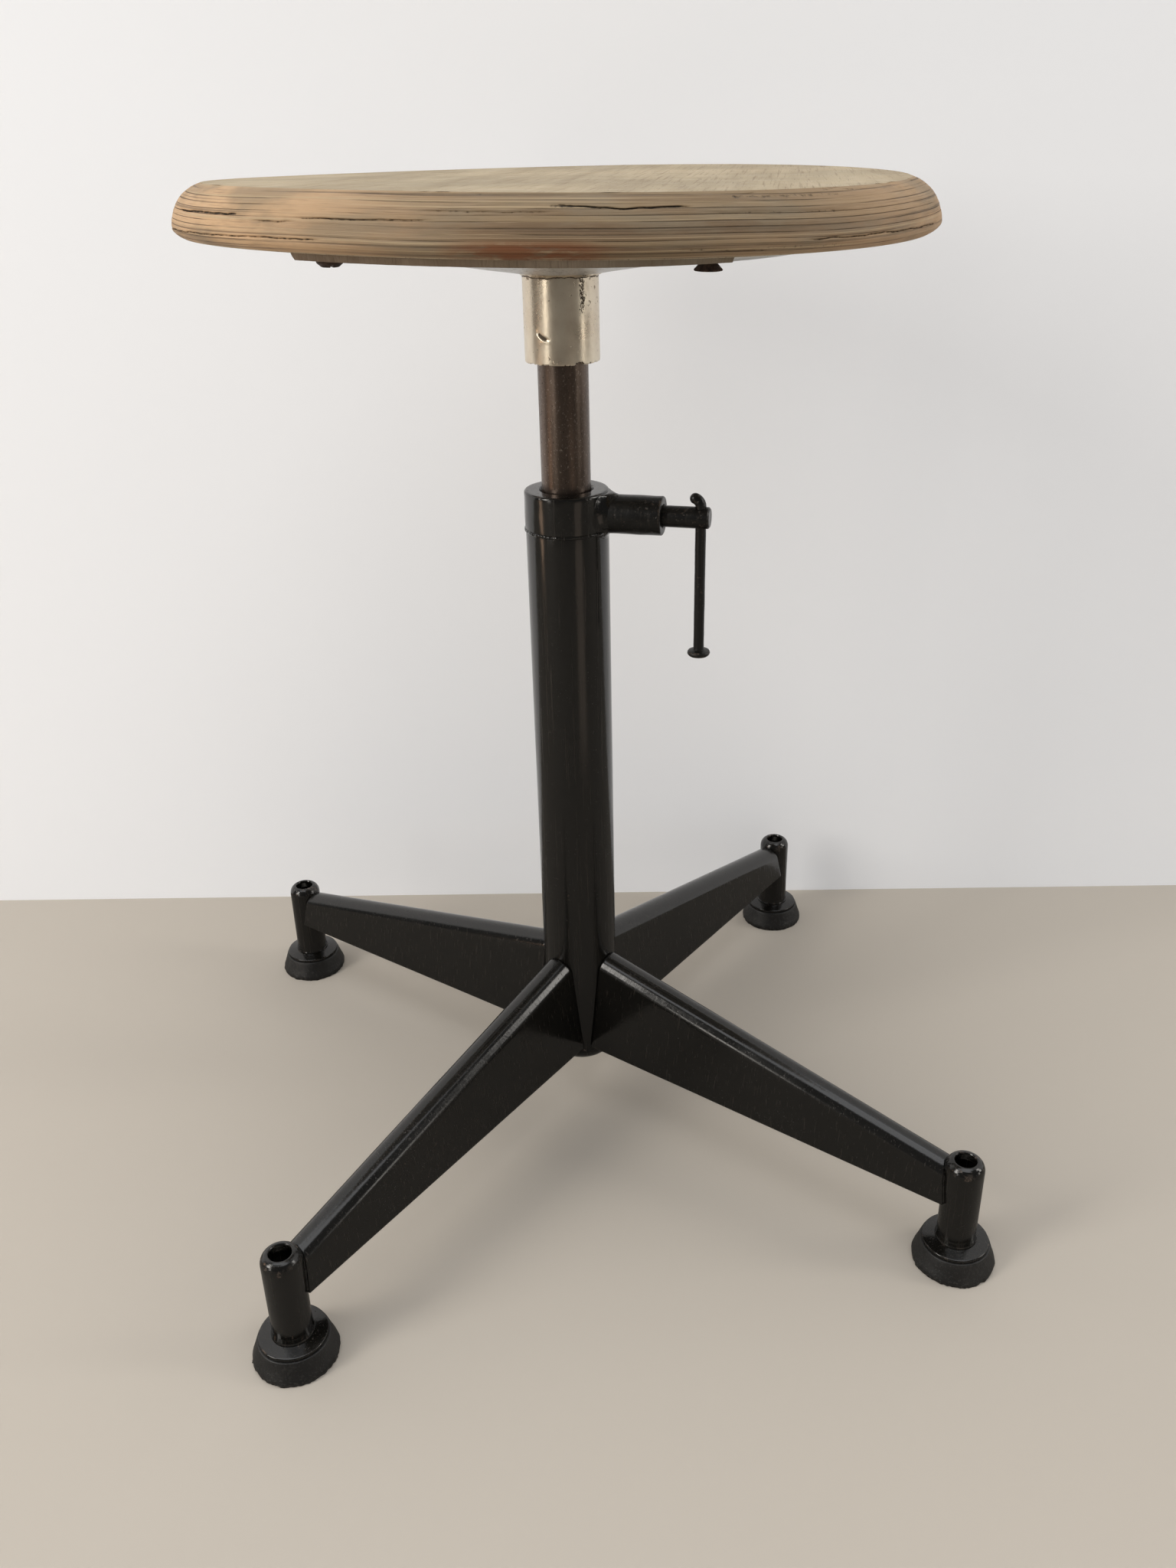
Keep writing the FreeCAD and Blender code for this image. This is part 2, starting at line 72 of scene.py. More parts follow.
def latticeNoise(x, y, z, seed):
    # Value noise from -1 to 1: each lattice corner holds a fixed random value, and
    # the eight corners round a point are blended by the smooth step of its place.
    cells = [np.floor(v).astype(np.int64) for v in (x, y, z)]
    shares = [v - np.floor(v) for v in (x, y, z)]
    shares = [s * s * (3 - 2 * s) for s in shares]
    total = 0
    for corner in range(8):
        bits = (corner & 1, corner >> 1 & 1, corner >> 2 & 1)
        mix = (cells[0] + bits[0]) * 374761393 + (cells[1] + bits[1]) * 668265263
        mix = mix + (cells[2] + bits[2]) * 1442695041 + seed * 1013904223
        mix = (mix ^ (mix >> 13)) * 1274126177
        value = ((mix ^ (mix >> 16)) & 0xFFFFFF) / float(0x7FFFFF) - 1
        weight = 1
        for bit, share in zip(bits, shares):
            weight = weight * (share if bit else 1 - share)
        total = total + weight * value
    return total


def layeredNoise(x, y, z, seed, layers=3):
    # A sum of value noises, each twice as fine and half as strong as the one before.
    total = 0
    for layer in range(layers):
        total = total + latticeNoise(x * 2 ** layer, y * 2 ** layer, z * 2 ** layer, seed + layer) / 2 ** layer
    return total


def smoothStep(low, high, value):
    share = np.clip((value - low) / (high - low), 0, 1)
    return share * share * (3 - 2 * share)


def fullCircle(count):
    return np.linspace(0, fullTurn, count, endpoint=False)


def roundNoise(angle, scale, height, seed, layers, shift=0):
    # Layered noise read along a circle, so that it meets itself after a full turn.
    return layeredNoise(np.cos(angle) * scale + shift, np.sin(angle) * scale + shift, height, seed, layers)


def polar(radius, angle, height):
    # Points at a radius, an angle about the axis and a height, each of which may be an array.
    return np.stack(np.broadcast_arrays(radius * np.cos(angle), radius * np.sin(angle), height), -1)


# Meshes from grids of points

def gridFaces(rows, columns, wrapRows, wrapColumns):
    # Quads between neighbouring rows and columns of a grid, with their unwrapped cells.
    row, column = np.meshgrid(
        np.arange(rows if wrapRows else rows - 1),
        np.arange(columns if wrapColumns else columns - 1), indexing="ij")
    row, column = row.ravel(), column.ravel()
    cellRows = np.stack([row, row, row + 1, row + 1], 1)
    cellColumns = np.stack([column, column + 1, column + 1, column], 1)
    return cellRows, cellColumns


def addSurface(name, grids, material, body, node=None, slot=None):
    # Each grid is a dictionary: points (rows, columns, 3), wrapRows, wrapColumns, poles,
    # and wear (rows, columns). A pole turns an end row into one point. Closed grids are
    # turned so that their signed volume is positive, and so their faces point outwards.
    points, wears, corners4, corners3, uv4, uv3 = [], [], [], [], [], []
    base = 0
    for grid in grids:
        place = np.asarray(grid["points"], float)
        rows, columns = place.shape[:2]
        wrapRows, wrapColumns = grid.get("wrapRows", False), grid.get("wrapColumns", True)
        wear = np.broadcast_to(grid.get("wear", np.zeros((1, 1))), (rows, columns))
        along = np.linalg.norm(np.diff(place, axis=0, append=place[:1]), axis=2).mean(1)
        across = np.linalg.norm(np.diff(place, axis=1, append=place[:, :1]), axis=2).mean(0)
        v = np.concatenate([[0], np.cumsum(along)]) * mm
        u = np.concatenate([[0], np.cumsum(across)]) * mm
        cellRows, cellColumns = gridFaces(rows, columns, wrapRows, wrapColumns)
        quads = cellRows % rows * columns + cellColumns % columns
        quadUv = np.stack([u[cellColumns], v[cellRows]], 2)
        triangles, triangleUv = np.zeros((0, 3), int), np.zeros((0, 3, 2))
        flat = place.reshape(-1, 3)
        flatWear = wear.reshape(-1)
        ends = [index for index, pole in zip((0, rows - 1), grid.get("poles", (False, False))) if pole]
        for index in ends:
            # The fan of an end: its row's centre becomes one new point.
            centre = len(flat)
            flat = np.vstack([flat, place[index].mean(0)])
            flatWear = np.append(flatWear, 0.0)
            column = np.arange(columns)
            ring = index * columns
            pair = np.stack([ring + column, ring + (column + 1) % columns], 1)
            order = pair[:, ::-1] if index == 0 else pair
            fan = np.concatenate([order, np.full((columns, 1), centre)], 1)
            triangles = np.vstack([triangles, fan])
            edgeUv = np.stack([u[:-1], np.full(columns, v[index])], 1)
            triangleUv = np.vstack([triangleUv, np.repeat(edgeUv[:, None], 3, 1)])
        if wrapColumns and (wrapRows or len(ends) == 2):
            volume = 0
            for faces in (quads[:, [0, 1, 2]], quads[:, [0, 2, 3]], triangles):
                a, b, c = flat[faces[:, 0]], flat[faces[:, 1]], flat[faces[:, 2]]
                volume += (np.cross(a, b) * c).sum()
            if volume < 0:
                quads, quadUv = quads[:, ::-1], quadUv[:, ::-1]
                triangles, triangleUv = triangles[:, ::-1], triangleUv[:, ::-1]
        points.append(flat)
        wears.append(flatWear)
        corners4.append(quads + base)
        corners3.append(triangles + base)
        uv4.append(quadUv)
        uv3.append(triangleUv)
        base += len(flat)
    points = np.concatenate(points) * mm
    quads, triangles = np.concatenate(corners4), np.concatenate(corners3)
    mesh = bpy.data.meshes.new(name)
    mesh.vertices.add(len(points))
    mesh.vertices.foreach_set("co", points.astype(np.float32).ravel())
    mesh.loops.add(quads.size + triangles.size)
    mesh.loops.foreach_set("vertex_index", np.concatenate([quads.ravel(), triangles.ravel()]).astype(np.int32))
    mesh.polygons.add(len(quads) + len(triangles))
    starts = np.concatenate([np.arange(len(quads)) * 4, quads.size + np.arange(len(triangles)) * 3])
    mesh.polygons.foreach_set("loop_start", starts.astype(np.int32))
    mesh.update(calc_edges=True)
    layer = mesh.uv_layers.new(name="surface")
    flatUv = np.concatenate([np.concatenate(uv4).reshape(-1, 2), np.concatenate(uv3).reshape(-1, 2)])
    layer.uv.foreach_set("vector", flatUv.astype(np.float32).ravel())
    wearLayer = mesh.attributes.new("wear", "FLOAT", "POINT")
    wearLayer.data.foreach_set("value", np.concatenate(wears).astype(np.float32))
    mesh.polygons.foreach_set("use_smooth", np.ones(len(mesh.polygons), bool))
    mesh.validate()
    mesh.materials.append(material)
    piece = bpy.data.objects.new(name, mesh)
    bpy.context.scene.collection.objects.link(piece)
    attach(piece, body)
    if node:
        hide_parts(node)
        slot = slot or slotOf[node]
    return piece


slotOf = {item["node"]: item["material_slot"] for item in frame["record"]["subparts"]}


def softOutline(outline, spacing, closed=True, arcSteps=5):
    # An outline of corners (r, z, rounding): each corner becomes an arc tangent to its
    # two straight runs, and the runs are divided so that no step is over the spacing.
    # It returns the points and, for each, how sharply and convexly the outline turns.
    corner = np.array([c[:2] for c in outline], float)
    rounding = np.array([c[2] for c in outline], float)
    area = np.sum(corner[:, 0] * np.roll(corner[:, 1], -1) - np.roll(corner[:, 0], -1) * corner[:, 1])
    count = len(corner)
    pieces, sharp = [], []
    last = None
    for i in range(count):
        here = corner[i]
        inner = closed or 0 < i < count - 1
        arc, mark = here[None], np.zeros(1)
        if inner and rounding[i] > 0:
            before, after = corner[i - 1] - here, corner[(i + 1) % count] - here
            lengths = np.linalg.norm(before), np.linalg.norm(after)
            before, after = before / lengths[0], after / lengths[1]
            opening = math.acos(float(np.clip(before @ after, -1, 1)))
            if opening < math.pi - 0.02:
                cut = min(rounding[i] / math.tan(opening / 2), 0.49 * lengths[0], 0.49 * lengths[1])
                radius = cut * math.tan(opening / 2)
                middle = before + after
                centre = here + middle / np.linalg.norm(middle) * radius / math.sin(opening / 2)
                start, end = here + before * cut - centre, here + after * cut - centre
                share = np.linspace(0, 1, arcSteps + 1)[:, None]
                turn = math.pi - opening
                arc = centre + (np.sin((1 - share) * turn) * start + np.sin(share * turn) * end) / math.sin(turn)
                convex = np.sign(before[0] * after[1] - before[1] * after[0]) * np.sign(area) < 0
                mark = np.full(len(arc), 1.0 if convex else -1.0)
        if last is not None:
            gap = np.linalg.norm(arc[0] - last)
            steps = max(int(math.ceil(gap / spacing)), 1)
            share = np.linspace(0, 1, steps + 1)[1:-1, None]
            pieces.append(last + (arc[0] - last) * share)
            sharp.append(np.zeros(len(share)))
        pieces.append(arc)
        sharp.append(mark)
        last = arc[-1]
    if closed:
        gap = np.linalg.norm(pieces[0][0] - last)
        steps = max(int(math.ceil(gap / spacing)), 1)
        share = np.linspace(0, 1, steps + 1)[1:-1, None]
        pieces.append(last + (pieces[0][0] - last) * share)
        sharp.append(np.zeros(len(share)))
    return np.concatenate(pieces), np.concatenate(sharp)


def turned(profile, columns, centre=(0, 0, 0), axis=(0, 0, 1), grow=0, lift=0):
    # A profile (r, z) turned about an axis: centre + (r + grow) * (cos a, sin a) across
    # the axis + (z + lift) along it. Grow and lift may vary over rows and columns.
    axis = np.array(axis, float)
    side = np.cross((0, 0, 1), axis) if abs(axis[2]) < 0.9 else np.array([1.0, 0, 0])
    side = side / np.linalg.norm(side)
    other = np.cross(axis, side)
    angle = fullCircle(columns)
    radius = profile[:, 0][:, None] + grow * np.ones(columns)
    height = profile[:, 1][:, None] + lift * np.ones(columns)
    across = np.cos(angle)[None, :, None] * side + np.sin(angle)[None, :, None] * other
    return np.array(centre, float) + radius[..., None] * across + height[..., None] * axis


def ringGrid(profile, columns, closed, **place):
    # The grid of a turned profile: closed outlines make rings, open ones end on the axis.
    points, sharp = profile
    wear = np.maximum(sharp, 0)[:, None]
    if closed:
        return {"points": turned(points, columns, **place), "wrapRows": True, "wear": wear}
    return {"points": turned(points, columns, **place), "poles": (True, True), "wear": wear}


# Shader helpers

def shaderNode(tree, kind, inputs=None, **settings):
    # A node with its settings; each input is linked to a socket or set to a value.
    item = tree.nodes.new("ShaderNode" + kind)
    for key, value in settings.items():
        setattr(item, key, value)
    for key, value in (inputs or {}).items():
        if isinstance(value, bpy.types.NodeSocket):
            tree.links.new(value, item.inputs[key])
        else:
            item.inputs[key].default_value = value
    return item


def mathNode(tree, operation, a, b=0.0):
    return shaderNode(tree, "Math", {0: a, 1: b}, operation=operation).outputs[0]


def times(tree, a, b):
    return mathNode(tree, "MULTIPLY", a, b)


def timesPlus(tree, a, b, c, clamp=False):
    return shaderNode(tree, "Math", {0: a, 1: b, 2: c}, operation="MULTIPLY_ADD", use_clamp=clamp).outputs[0]


def rampNode(tree, value, low, high, toLow=0.0, toHigh=1.0):
    inputs = {"Value": value, "From Min": low, "From Max": high, "To Min": toLow, "To Max": toHigh}
    return shaderNode(tree, "MapRange", inputs, interpolation_type="SMOOTHSTEP").outputs["Result"]


def mixColor(tree, share, a, b):
    return shaderNode(tree, "Mix", {0: share, 6: a, 7: b}, data_type="RGBA").outputs[2]


def noiseNode(tree, vector, scale, detail=2.0, rough=0.5, distortion=0.0):
    inputs = {"Vector": vector, "Scale": scale, "Detail": detail, "Roughness": rough, "Distortion": distortion}
    return shaderNode(tree, "TexNoise", inputs).outputs["Fac"]


def stretchNode(tree, vector, scale):
    return shaderNode(tree, "VectorMath", {0: vector, 1: scale}, operation="MULTIPLY").outputs[0]


def grainNode(tree, vector, scales, detail=2.0, rough=0.5, distortion=0.0):
    # Noise drawn out by unequal scales.
    return noiseNode(tree, stretchNode(tree, vector, scales), 1.0, detail, rough, distortion)


def partsOf(tree, vector):
    return shaderNode(tree, "SeparateXYZ", {0: vector}).outputs


def apart(tree, a, b, shift):
    # How far two values lie apart, once the first is shifted.
    return mathNode(tree, "ABSOLUTE", mathNode(tree, "ADD", mathNode(tree, "SUBTRACT", a, b), shift))


def layered(tree, color, *layers):
    # Each layer is a share and a colour, laid over what lies below.
    for share, tone in layers:
        color = mixColor(tree, share, color, tone)
    return color


def summed(tree, total, *terms):
    # Each term is a value and its weight, added to the total.
    for value, weight in terms:
        total = timesPlus(tree, value, weight, total)
    return total


def makeGroup(name, inputs, outputs):
    group = bpy.data.node_groups.new(name, "ShaderNodeTree")
    for label, kind, value in inputs:
        socket = group.interface.new_socket(label, in_out="INPUT", socket_type="NodeSocket" + kind)
        if value is not None:
            socket.default_value = value
    for label, kind in outputs:
        group.interface.new_socket(label, in_out="OUTPUT", socket_type="NodeSocket" + kind)
    return group, group.nodes.new("NodeGroupInput").outputs, group.nodes.new("NodeGroupOutput")


def placeGroup(tree, group, inputs):
    return shaderNode(tree, "Group", inputs, node_tree=group).outputs


def specksMask(tree, place, scale, amount, patches=12.0):
    return placeGroup(tree, specks, {"Vector": place, "Scale": scale, "Amount": amount, "Patches": patches})["Mask"]


def streaksMask(tree, place, scales, low, high):
    return placeGroup(tree, streaks, {"Vector": place, "Scales": scales, "Low": low, "High": high})["Mask"]


def markOf(tree, name):
    # A mark stored on the mesh's points, such as its wear.
    return shaderNode(tree, "Attribute", attribute_name=name).outputs["Fac"]


def finish(tree, color, roughness, metallic=0.0, height=None, bumpDistance=0.0003, bumpStrength=1.0, **shader):
    # The Principled shader of a material, with its bump.
    surface = shaderNode(tree, "BsdfPrincipled", {"Base Color": color, "Roughness": roughness, "Metallic": metallic})
    for key, value in shader.items():
        surface.inputs[key].default_value = value
    if height is not None:
        bump = shaderNode(tree, "Bump", {"Height": height, "Distance": bumpDistance, "Strength": bumpStrength})
        tree.links.new(bump.outputs["Normal"], surface.inputs["Normal"])
    tree.links.new(surface.outputs[0], tree.nodes["Material Output"].inputs["Surface"])


def newMaterial(name):
    material = bpy.data.materials.new(name)
    material.use_nodes = True
    tree = material.node_tree
    for item in list(tree.nodes):
        if item.bl_idname != "ShaderNodeOutputMaterial":
            tree.nodes.remove(item)
    place = shaderNode(tree, "TexCoord").outputs["Object"]
    return material, tree, place


# Shared effects

def makeSpecks():
    # Specks: fine noise above a threshold, broken up by a coarser noise.
    group, given, result = makeGroup(
        "specks",
        [("Vector", "Vector", None), ("Scale", "Float", 400.0), ("Amount", "Float", 0.3), ("Patches", "Float", 12.0)],
        [("Mask", "Float")])
    fine = noiseNode(group, given["Vector"], given["Scale"], 2.0, 0.6)
    patches = noiseNode(group, given["Vector"], given["Patches"], 2.0, 0.5)
    level = timesPlus(group, patches, 0.35, times(group, given["Amount"], 0.3))
    mask = rampNode(group, mathNode(group, "ADD", fine, level), 0.86, 0.93)
    group.links.new(mask, result.inputs["Mask"])
    return group


def makeStreaks():
    # Streaks: noise drawn out along one direction by unequal scales.
    group, given, result = makeGroup(
        "streaks",
        [("Vector", "Vector", None), ("Scales", "Vector", (300.0, 300.0, 12.0)), ("Low", "Float", 0.5),
         ("High", "Float", 0.7)],
        [("Mask", "Float")])
    noise = grainNode(group, given["Vector"], given["Scales"], 3.0, 0.6)
    group.links.new(rampNode(group, noise, given["Low"], given["High"]), result.inputs["Mask"])
    return group


def makeEdgeWear():
    # Edge wear: the mesh's own wear mark, eaten into by noise.
    group, given, result = makeGroup(
        "edgeWear",
        [("Vector", "Vector", None), ("Wear", "Float", 0.0), ("Scale", "Float", 180.0), ("Amount", "Float", 0.5)],
        [("Mask", "Float")])
    noise = noiseNode(group, given["Vector"], given["Scale"], 4.0, 0.65)
    level = times(group, given["Wear"], given["Amount"])
    mask = rampNode(group, mathNode(group, "ADD", noise, times(group, level, 0.6)), 0.78, 0.9)
    both = times(group, mask, rampNode(group, given["Wear"], 0.1, 0.6))
    group.links.new(both, result.inputs["Mask"])
    return group


def makePaintFilm():
    # A brushed-on paint film: low waves where it sagged, and a fine orange peel.
    group, given, result = makeGroup(
        "paintFilm",
        [("Vector", "Vector", None), ("Peel", "Float", 0.3), ("Waves", "Float", 1.0)],
        [("Height", "Float"), ("Cloud", "Float")])
    peel = noiseNode(group, given["Vector"], 420.0, 2.0, 0.5)
    waves = grainNode(group, given["Vector"], (60.0, 60.0, 30.0))
    cloud = noiseNode(group, given["Vector"], 18.0, 3.0, 0.6)
    height = timesPlus(group, peel, given["Peel"], times(group, waves, given["Waves"]))
    group.links.new(height, result.inputs["Height"])
    group.links.new(cloud, result.inputs["Cloud"])
    return group


specks = makeSpecks()
streaks = makeStreaks()
edgeWear = makeEdgeWear()
paintFilm = makePaintFilm()
print("shared effects ready")


# Materials

def makeBlackPaint(name, settings):
    # A cloudy black film with sags and orange peel, dusted, chipped, and worn to the metal along edges.
    material, tree, place = newMaterial(name)
    film = placeGroup(tree, paintFilm, {"Vector": place, "Peel": settings["peel"], "Waves": settings["waves"]})
    wear = markOf(tree, "wear")
    worn = placeGroup(tree, edgeWear, {"Vector": place, "Wear": wear, "Amount": settings["wear"]})["Mask"]
    dust = specksMask(tree, place, settings["dustScale"], settings["dust"])
    # Upright hairline scratches show the brown below and break the highlights.
    scratch = streaksMask(tree, place, (900.0, 900.0, 14.0), 0.56, 0.72)
    chips = specksMask(tree, place, 520.0, settings["chips"], 14.0)
    bare = mathNode(tree, "MAXIMUM", worn, times(tree, chips, 0.5))
    color = mixColor(tree, film["Cloud"], settings["deep"], settings["brown"])
    color = layered(tree, color, (times(tree, dust, 0.5), settings["dustColor"]),
                    (times(tree, scratch, 0.3), settings["scratched"]), (bare, settings["metal"]))
    roughness = rampNode(tree, film["Cloud"], 0.3, 0.7, settings["gloss"], settings["dull"])
    roughness = summed(tree, roughness, (worn, 0.2), (scratch, 0.22))
    roughness = timesPlus(tree, dust, 0.25, roughness, clamp=True)
    height = summed(tree, film["Height"], (worn, -0.5), (chips, -0.6))
    finish(tree, color, roughness, 0.0, height, settings["bump"], 0.6, **settings["shader"])
    return material


blackSettings = {
    "deep": (0.0038, 0.0038, 0.0034, 1), "brown": (0.0062, 0.0056, 0.0045, 1), "metal": (0.055, 0.040, 0.030, 1),
    "dustColor": (0.05, 0.048, 0.045, 1), "scratched": (0.034, 0.025, 0.018, 1),
    "peel": 0.18, "waves": 0.45, "wear": 0.35, "dust": -0.1, "dustScale": 900.0, "chips": -0.15,
    "gloss": 0.12, "dull": 0.21, "bump": 0.0003, "shader": {"Specular IOR Level": 0.55},
}
blackPaint = makeBlackPaint("blackPaint", blackSettings)
mattBlack = makeBlackPaint("mattBlack", dict(
    blackSettings, gloss=0.30, dull=0.44, dust=-0.05, wear=0.45, peel=0.4, chips=0.1,
    brown=(0.0056, 0.0052, 0.0044, 1), shader={"Specular IOR Level": 0.4}))


def makeRubber():
    # Black rubber, scuffed grey near the floor and dusted.
    settings = {"dark": (0.008, 0.0078, 0.0075, 1), "grey": (0.018, 0.017, 0.0155, 1),
                "dust": (0.055, 0.052, 0.047, 1), "lowBand": 0.007}
    material, tree, place = newMaterial("footRubber")
    cloud = noiseNode(tree, place, 45.0, 4.0, 0.6)
    dust = specksMask(tree, place, 700.0, 0.4, 30.0)
    scuff = streaksMask(tree, place, (500.0, 500.0, 60.0), 0.62, 0.72)
    low = rampNode(tree, partsOf(tree, place)["Z"], 0.0, settings["lowBand"], 1.0, 0.35)
    color = mixColor(tree, rampNode(tree, cloud, 0.4, 0.8), settings["dark"], settings["grey"])
    color = layered(tree, color, (times(tree, dust, times(tree, low, 0.5)), settings["dust"]),
                    (times(tree, scuff, times(tree, low, 0.4)), settings["dust"]))
    roughness = rampNode(tree, cloud, 0.3, 0.7, 0.38, 0.55)
    height = timesPlus(tree, dust, 0.5, noiseNode(tree, place, 600.0, 3.0, 0.6))
    finish(tree, color, roughness, 0.0, height, 0.0003, 0.5)
    return material


def makePostSteel():
    # Browned bar steel: a slow cloud between two browns, bright rubbed grains and small pits.
    settings = {"brown": (0.150, 0.112, 0.090, 1), "deep": (0.095, 0.072, 0.058, 1),
                "bright": (0.50, 0.42, 0.36, 1), "pit": (0.02, 0.014, 0.01, 1)}
    material, tree, place = newMaterial("postSteel")
    cloud = grainNode(tree, place, (45.0, 45.0, 18.0), 3.0, 0.55)
    grains = grainNode(tree, place, (1100.0, 1100.0, 700.0), 3.0, 0.7)
    pits = specksMask(tree, place, 750.0, 0.15, 25.0)
    rubbed = rampNode(tree, grains, 0.56, 0.72)
    color = mixColor(tree, rampNode(tree, cloud, 0.35, 0.7), settings["deep"], settings["brown"])
    color = layered(tree, color, (times(tree, rubbed, 0.45), settings["bright"]),
                    (times(tree, pits, 0.7), settings["pit"]))
    roughness = timesPlus(tree, pits, 0.2, rampNode(tree, cloud, 0.3, 0.75, 0.28, 0.36))
    height = timesPlus(tree, grains, 0.5, times(tree, pits, -0.6))
    finish(tree, color, roughness, 0.85, height, 0.00015, 0.5)
    return material


def makeSeatSteel(name, settings):
    # Bright steel, cloudy between two tints, with brown specks of tarnish that dull it.
    material, tree, place = newMaterial(name)
    cloud = noiseNode(tree, place, settings["cloudScale"], 5.0, 0.6)
    tarnish = specksMask(tree, place, 380.0, settings["tarnish"], 35.0)
    fine = noiseNode(tree, place, 900.0, 2.0, 0.5)
    color = mixColor(tree, rampNode(tree, cloud, 0.3, 0.7), settings["warm"], settings["pale"])
    color = mixColor(tree, times(tree, tarnish, 0.65), color, settings["brown"])
    rust = settings["rustStreak"]
    if rust:
        # A pitted streak runs down the tube: a band of angle about the axis, broken by noise.
        # Dents carry wear marks over 1, and a dark undercut line follows the weld.
        parts = partsOf(tree, place)
        angle = mathNode(tree, "ARCTAN2", parts["Y"], parts["X"])
        wander = timesPlus(tree, grainNode(tree, place, (0, 0, 90.0)), 0.24, -0.12)
        near = rampNode(tree, apart(tree, angle, rust["angle"], wander), 0.0, rust["width"], 1.0, 0.0)
        high = rampNode(tree, parts["Z"], rust["low"], rust["high"])
        grain = grainNode(tree, place, (1500.0, 1500.0, 900.0), 3.0, 0.7)
        broken = timesPlus(tree, times(tree, near, high), 0.24, grain)
        broken = times(tree, rampNode(tree, broken, 0.66, 0.74), rampNode(tree, near, 0.02, 0.3))
        sway = timesPlus(tree, grainNode(tree, place, (70.0, 70.0, 0), 3.0, 0.7), 0.0042, -0.0021)
        line = rampNode(tree, apart(tree, parts["Z"], rust["weldLine"], sway), 0.00012, 0.00045, 1.0, 0.0)
        line = times(tree, line, rampNode(tree, grain, 0.3, 0.5, 0.5, 1.0))
        bruised = rampNode(tree, markOf(tree, "wear"), 1.15, 1.6)
        dark = mathNode(tree, "MAXIMUM", mathNode(tree, "MAXIMUM", broken, line), bruised)
        color = mixColor(tree, times(tree, dark, 0.9), color, rust["color"])
        tarnish = mathNode(tree, "MAXIMUM", tarnish, dark)
    roughness = rampNode(tree, cloud, 0.3, 0.7, settings["gloss"], settings["dull"])
    roughness = timesPlus(tree, tarnish, 0.25, roughness)
    height = timesPlus(tree, tarnish, -1.0, times(tree, fine, 0.25))
    finish(tree, color, roughness, settings["metal"], height, 0.00025, 0.6)
    return material


tubeSteel = makeSeatSteel("tubeSteel", {
    "cloudScale": 60.0, "tarnish": 0.05, "warm": (0.70, 0.60, 0.47, 1), "pale": (0.82, 0.74, 0.60, 1),
    "brown": (0.22, 0.16, 0.11, 1), "gloss": 0.26, "dull": 0.36, "metal": 0.9,
    "rustStreak": {"angle": math.radians(-65), "width": 0.16, "low": 0.484, "high": 0.496, "weldLine": 0.5066,
                   "color": (0.040, 0.026, 0.017, 1)}})
plateSteel = makeSeatSteel("plateSteel", {
    "cloudScale": 22.0, "tarnish": 0.25, "warm": (0.50, 0.48, 0.45, 1), "pale": (0.66, 0.66, 0.66, 1),
    "brown": (0.16, 0.12, 0.09, 1), "gloss": 0.34, "dull": 0.5, "metal": 0.8, "rustStreak": None})


def makePlainMetal(name, pale, dark, metal, gloss, dull, cloudScale=90.0):
    # Turned or plated metal: a cloudy tint and fine tool marks round the piece.
    material, tree, place = newMaterial(name)
    cloud = noiseNode(tree, place, cloudScale, 4.0, 0.6)
    marks = streaksMask(tree, place, (60.0, 60.0, 1500.0), 0.4, 0.7)
    spots = specksMask(tree, place, 600.0, 0.5, 60.0)
    color = mixColor(tree, rampNode(tree, cloud, 0.35, 0.7), pale, dark)
    color = mixColor(tree, times(tree, spots, 0.5), color, (dark[0] / 3, dark[1] / 3, dark[2] / 3, 1))
    roughness = rampNode(tree, cloud, 0.3, 0.7, gloss, dull)
    finish(tree, color, roughness, metal, timesPlus(tree, marks, 0.3, spots), 0.0001, 0.5)
    return material


plainSteel = makePlainMetal("plainSteel", (0.50, 0.48, 0.45, 1), (0.30, 0.27, 0.24, 1), 0.9, 0.25, 0.4)
platedSteel = makePlainMetal("platedSteel", (0.60, 0.58, 0.52, 1), (0.42, 0.38, 0.30, 1), 0.9, 0.25, 0.4)
brass = makePlainMetal("brass", (0.62, 0.42, 0.17, 1), (0.36, 0.22, 0.09, 1), 0.9, 0.28, 0.42)
rustySteel = makePlainMetal("rustySteel", (0.065, 0.036, 0.022, 1), (0.028, 0.016, 0.011, 1), 0.2, 0.6, 0.85, 400.0)
footRubber = makeRubber()
postSteel = makePostSteel()


# Wood

woodTones = {
    "pale": (0.53, 0.435, 0.295, 1), "sand": (0.42, 0.335, 0.22, 1), "cream": (0.44, 0.33, 0.20, 1),
    "tan": (0.255, 0.180, 0.102, 1), "brown": (0.160, 0.103, 0.058, 1), "grey": (0.225, 0.182, 0.122, 1),
    "dark": (0.070, 0.047, 0.028, 1), "black": (0.020, 0.014, 0.010, 1), "rust": (0.17, 0.056, 0.020, 1),
    "gold": (0.54, 0.355, 0.205, 1),
}


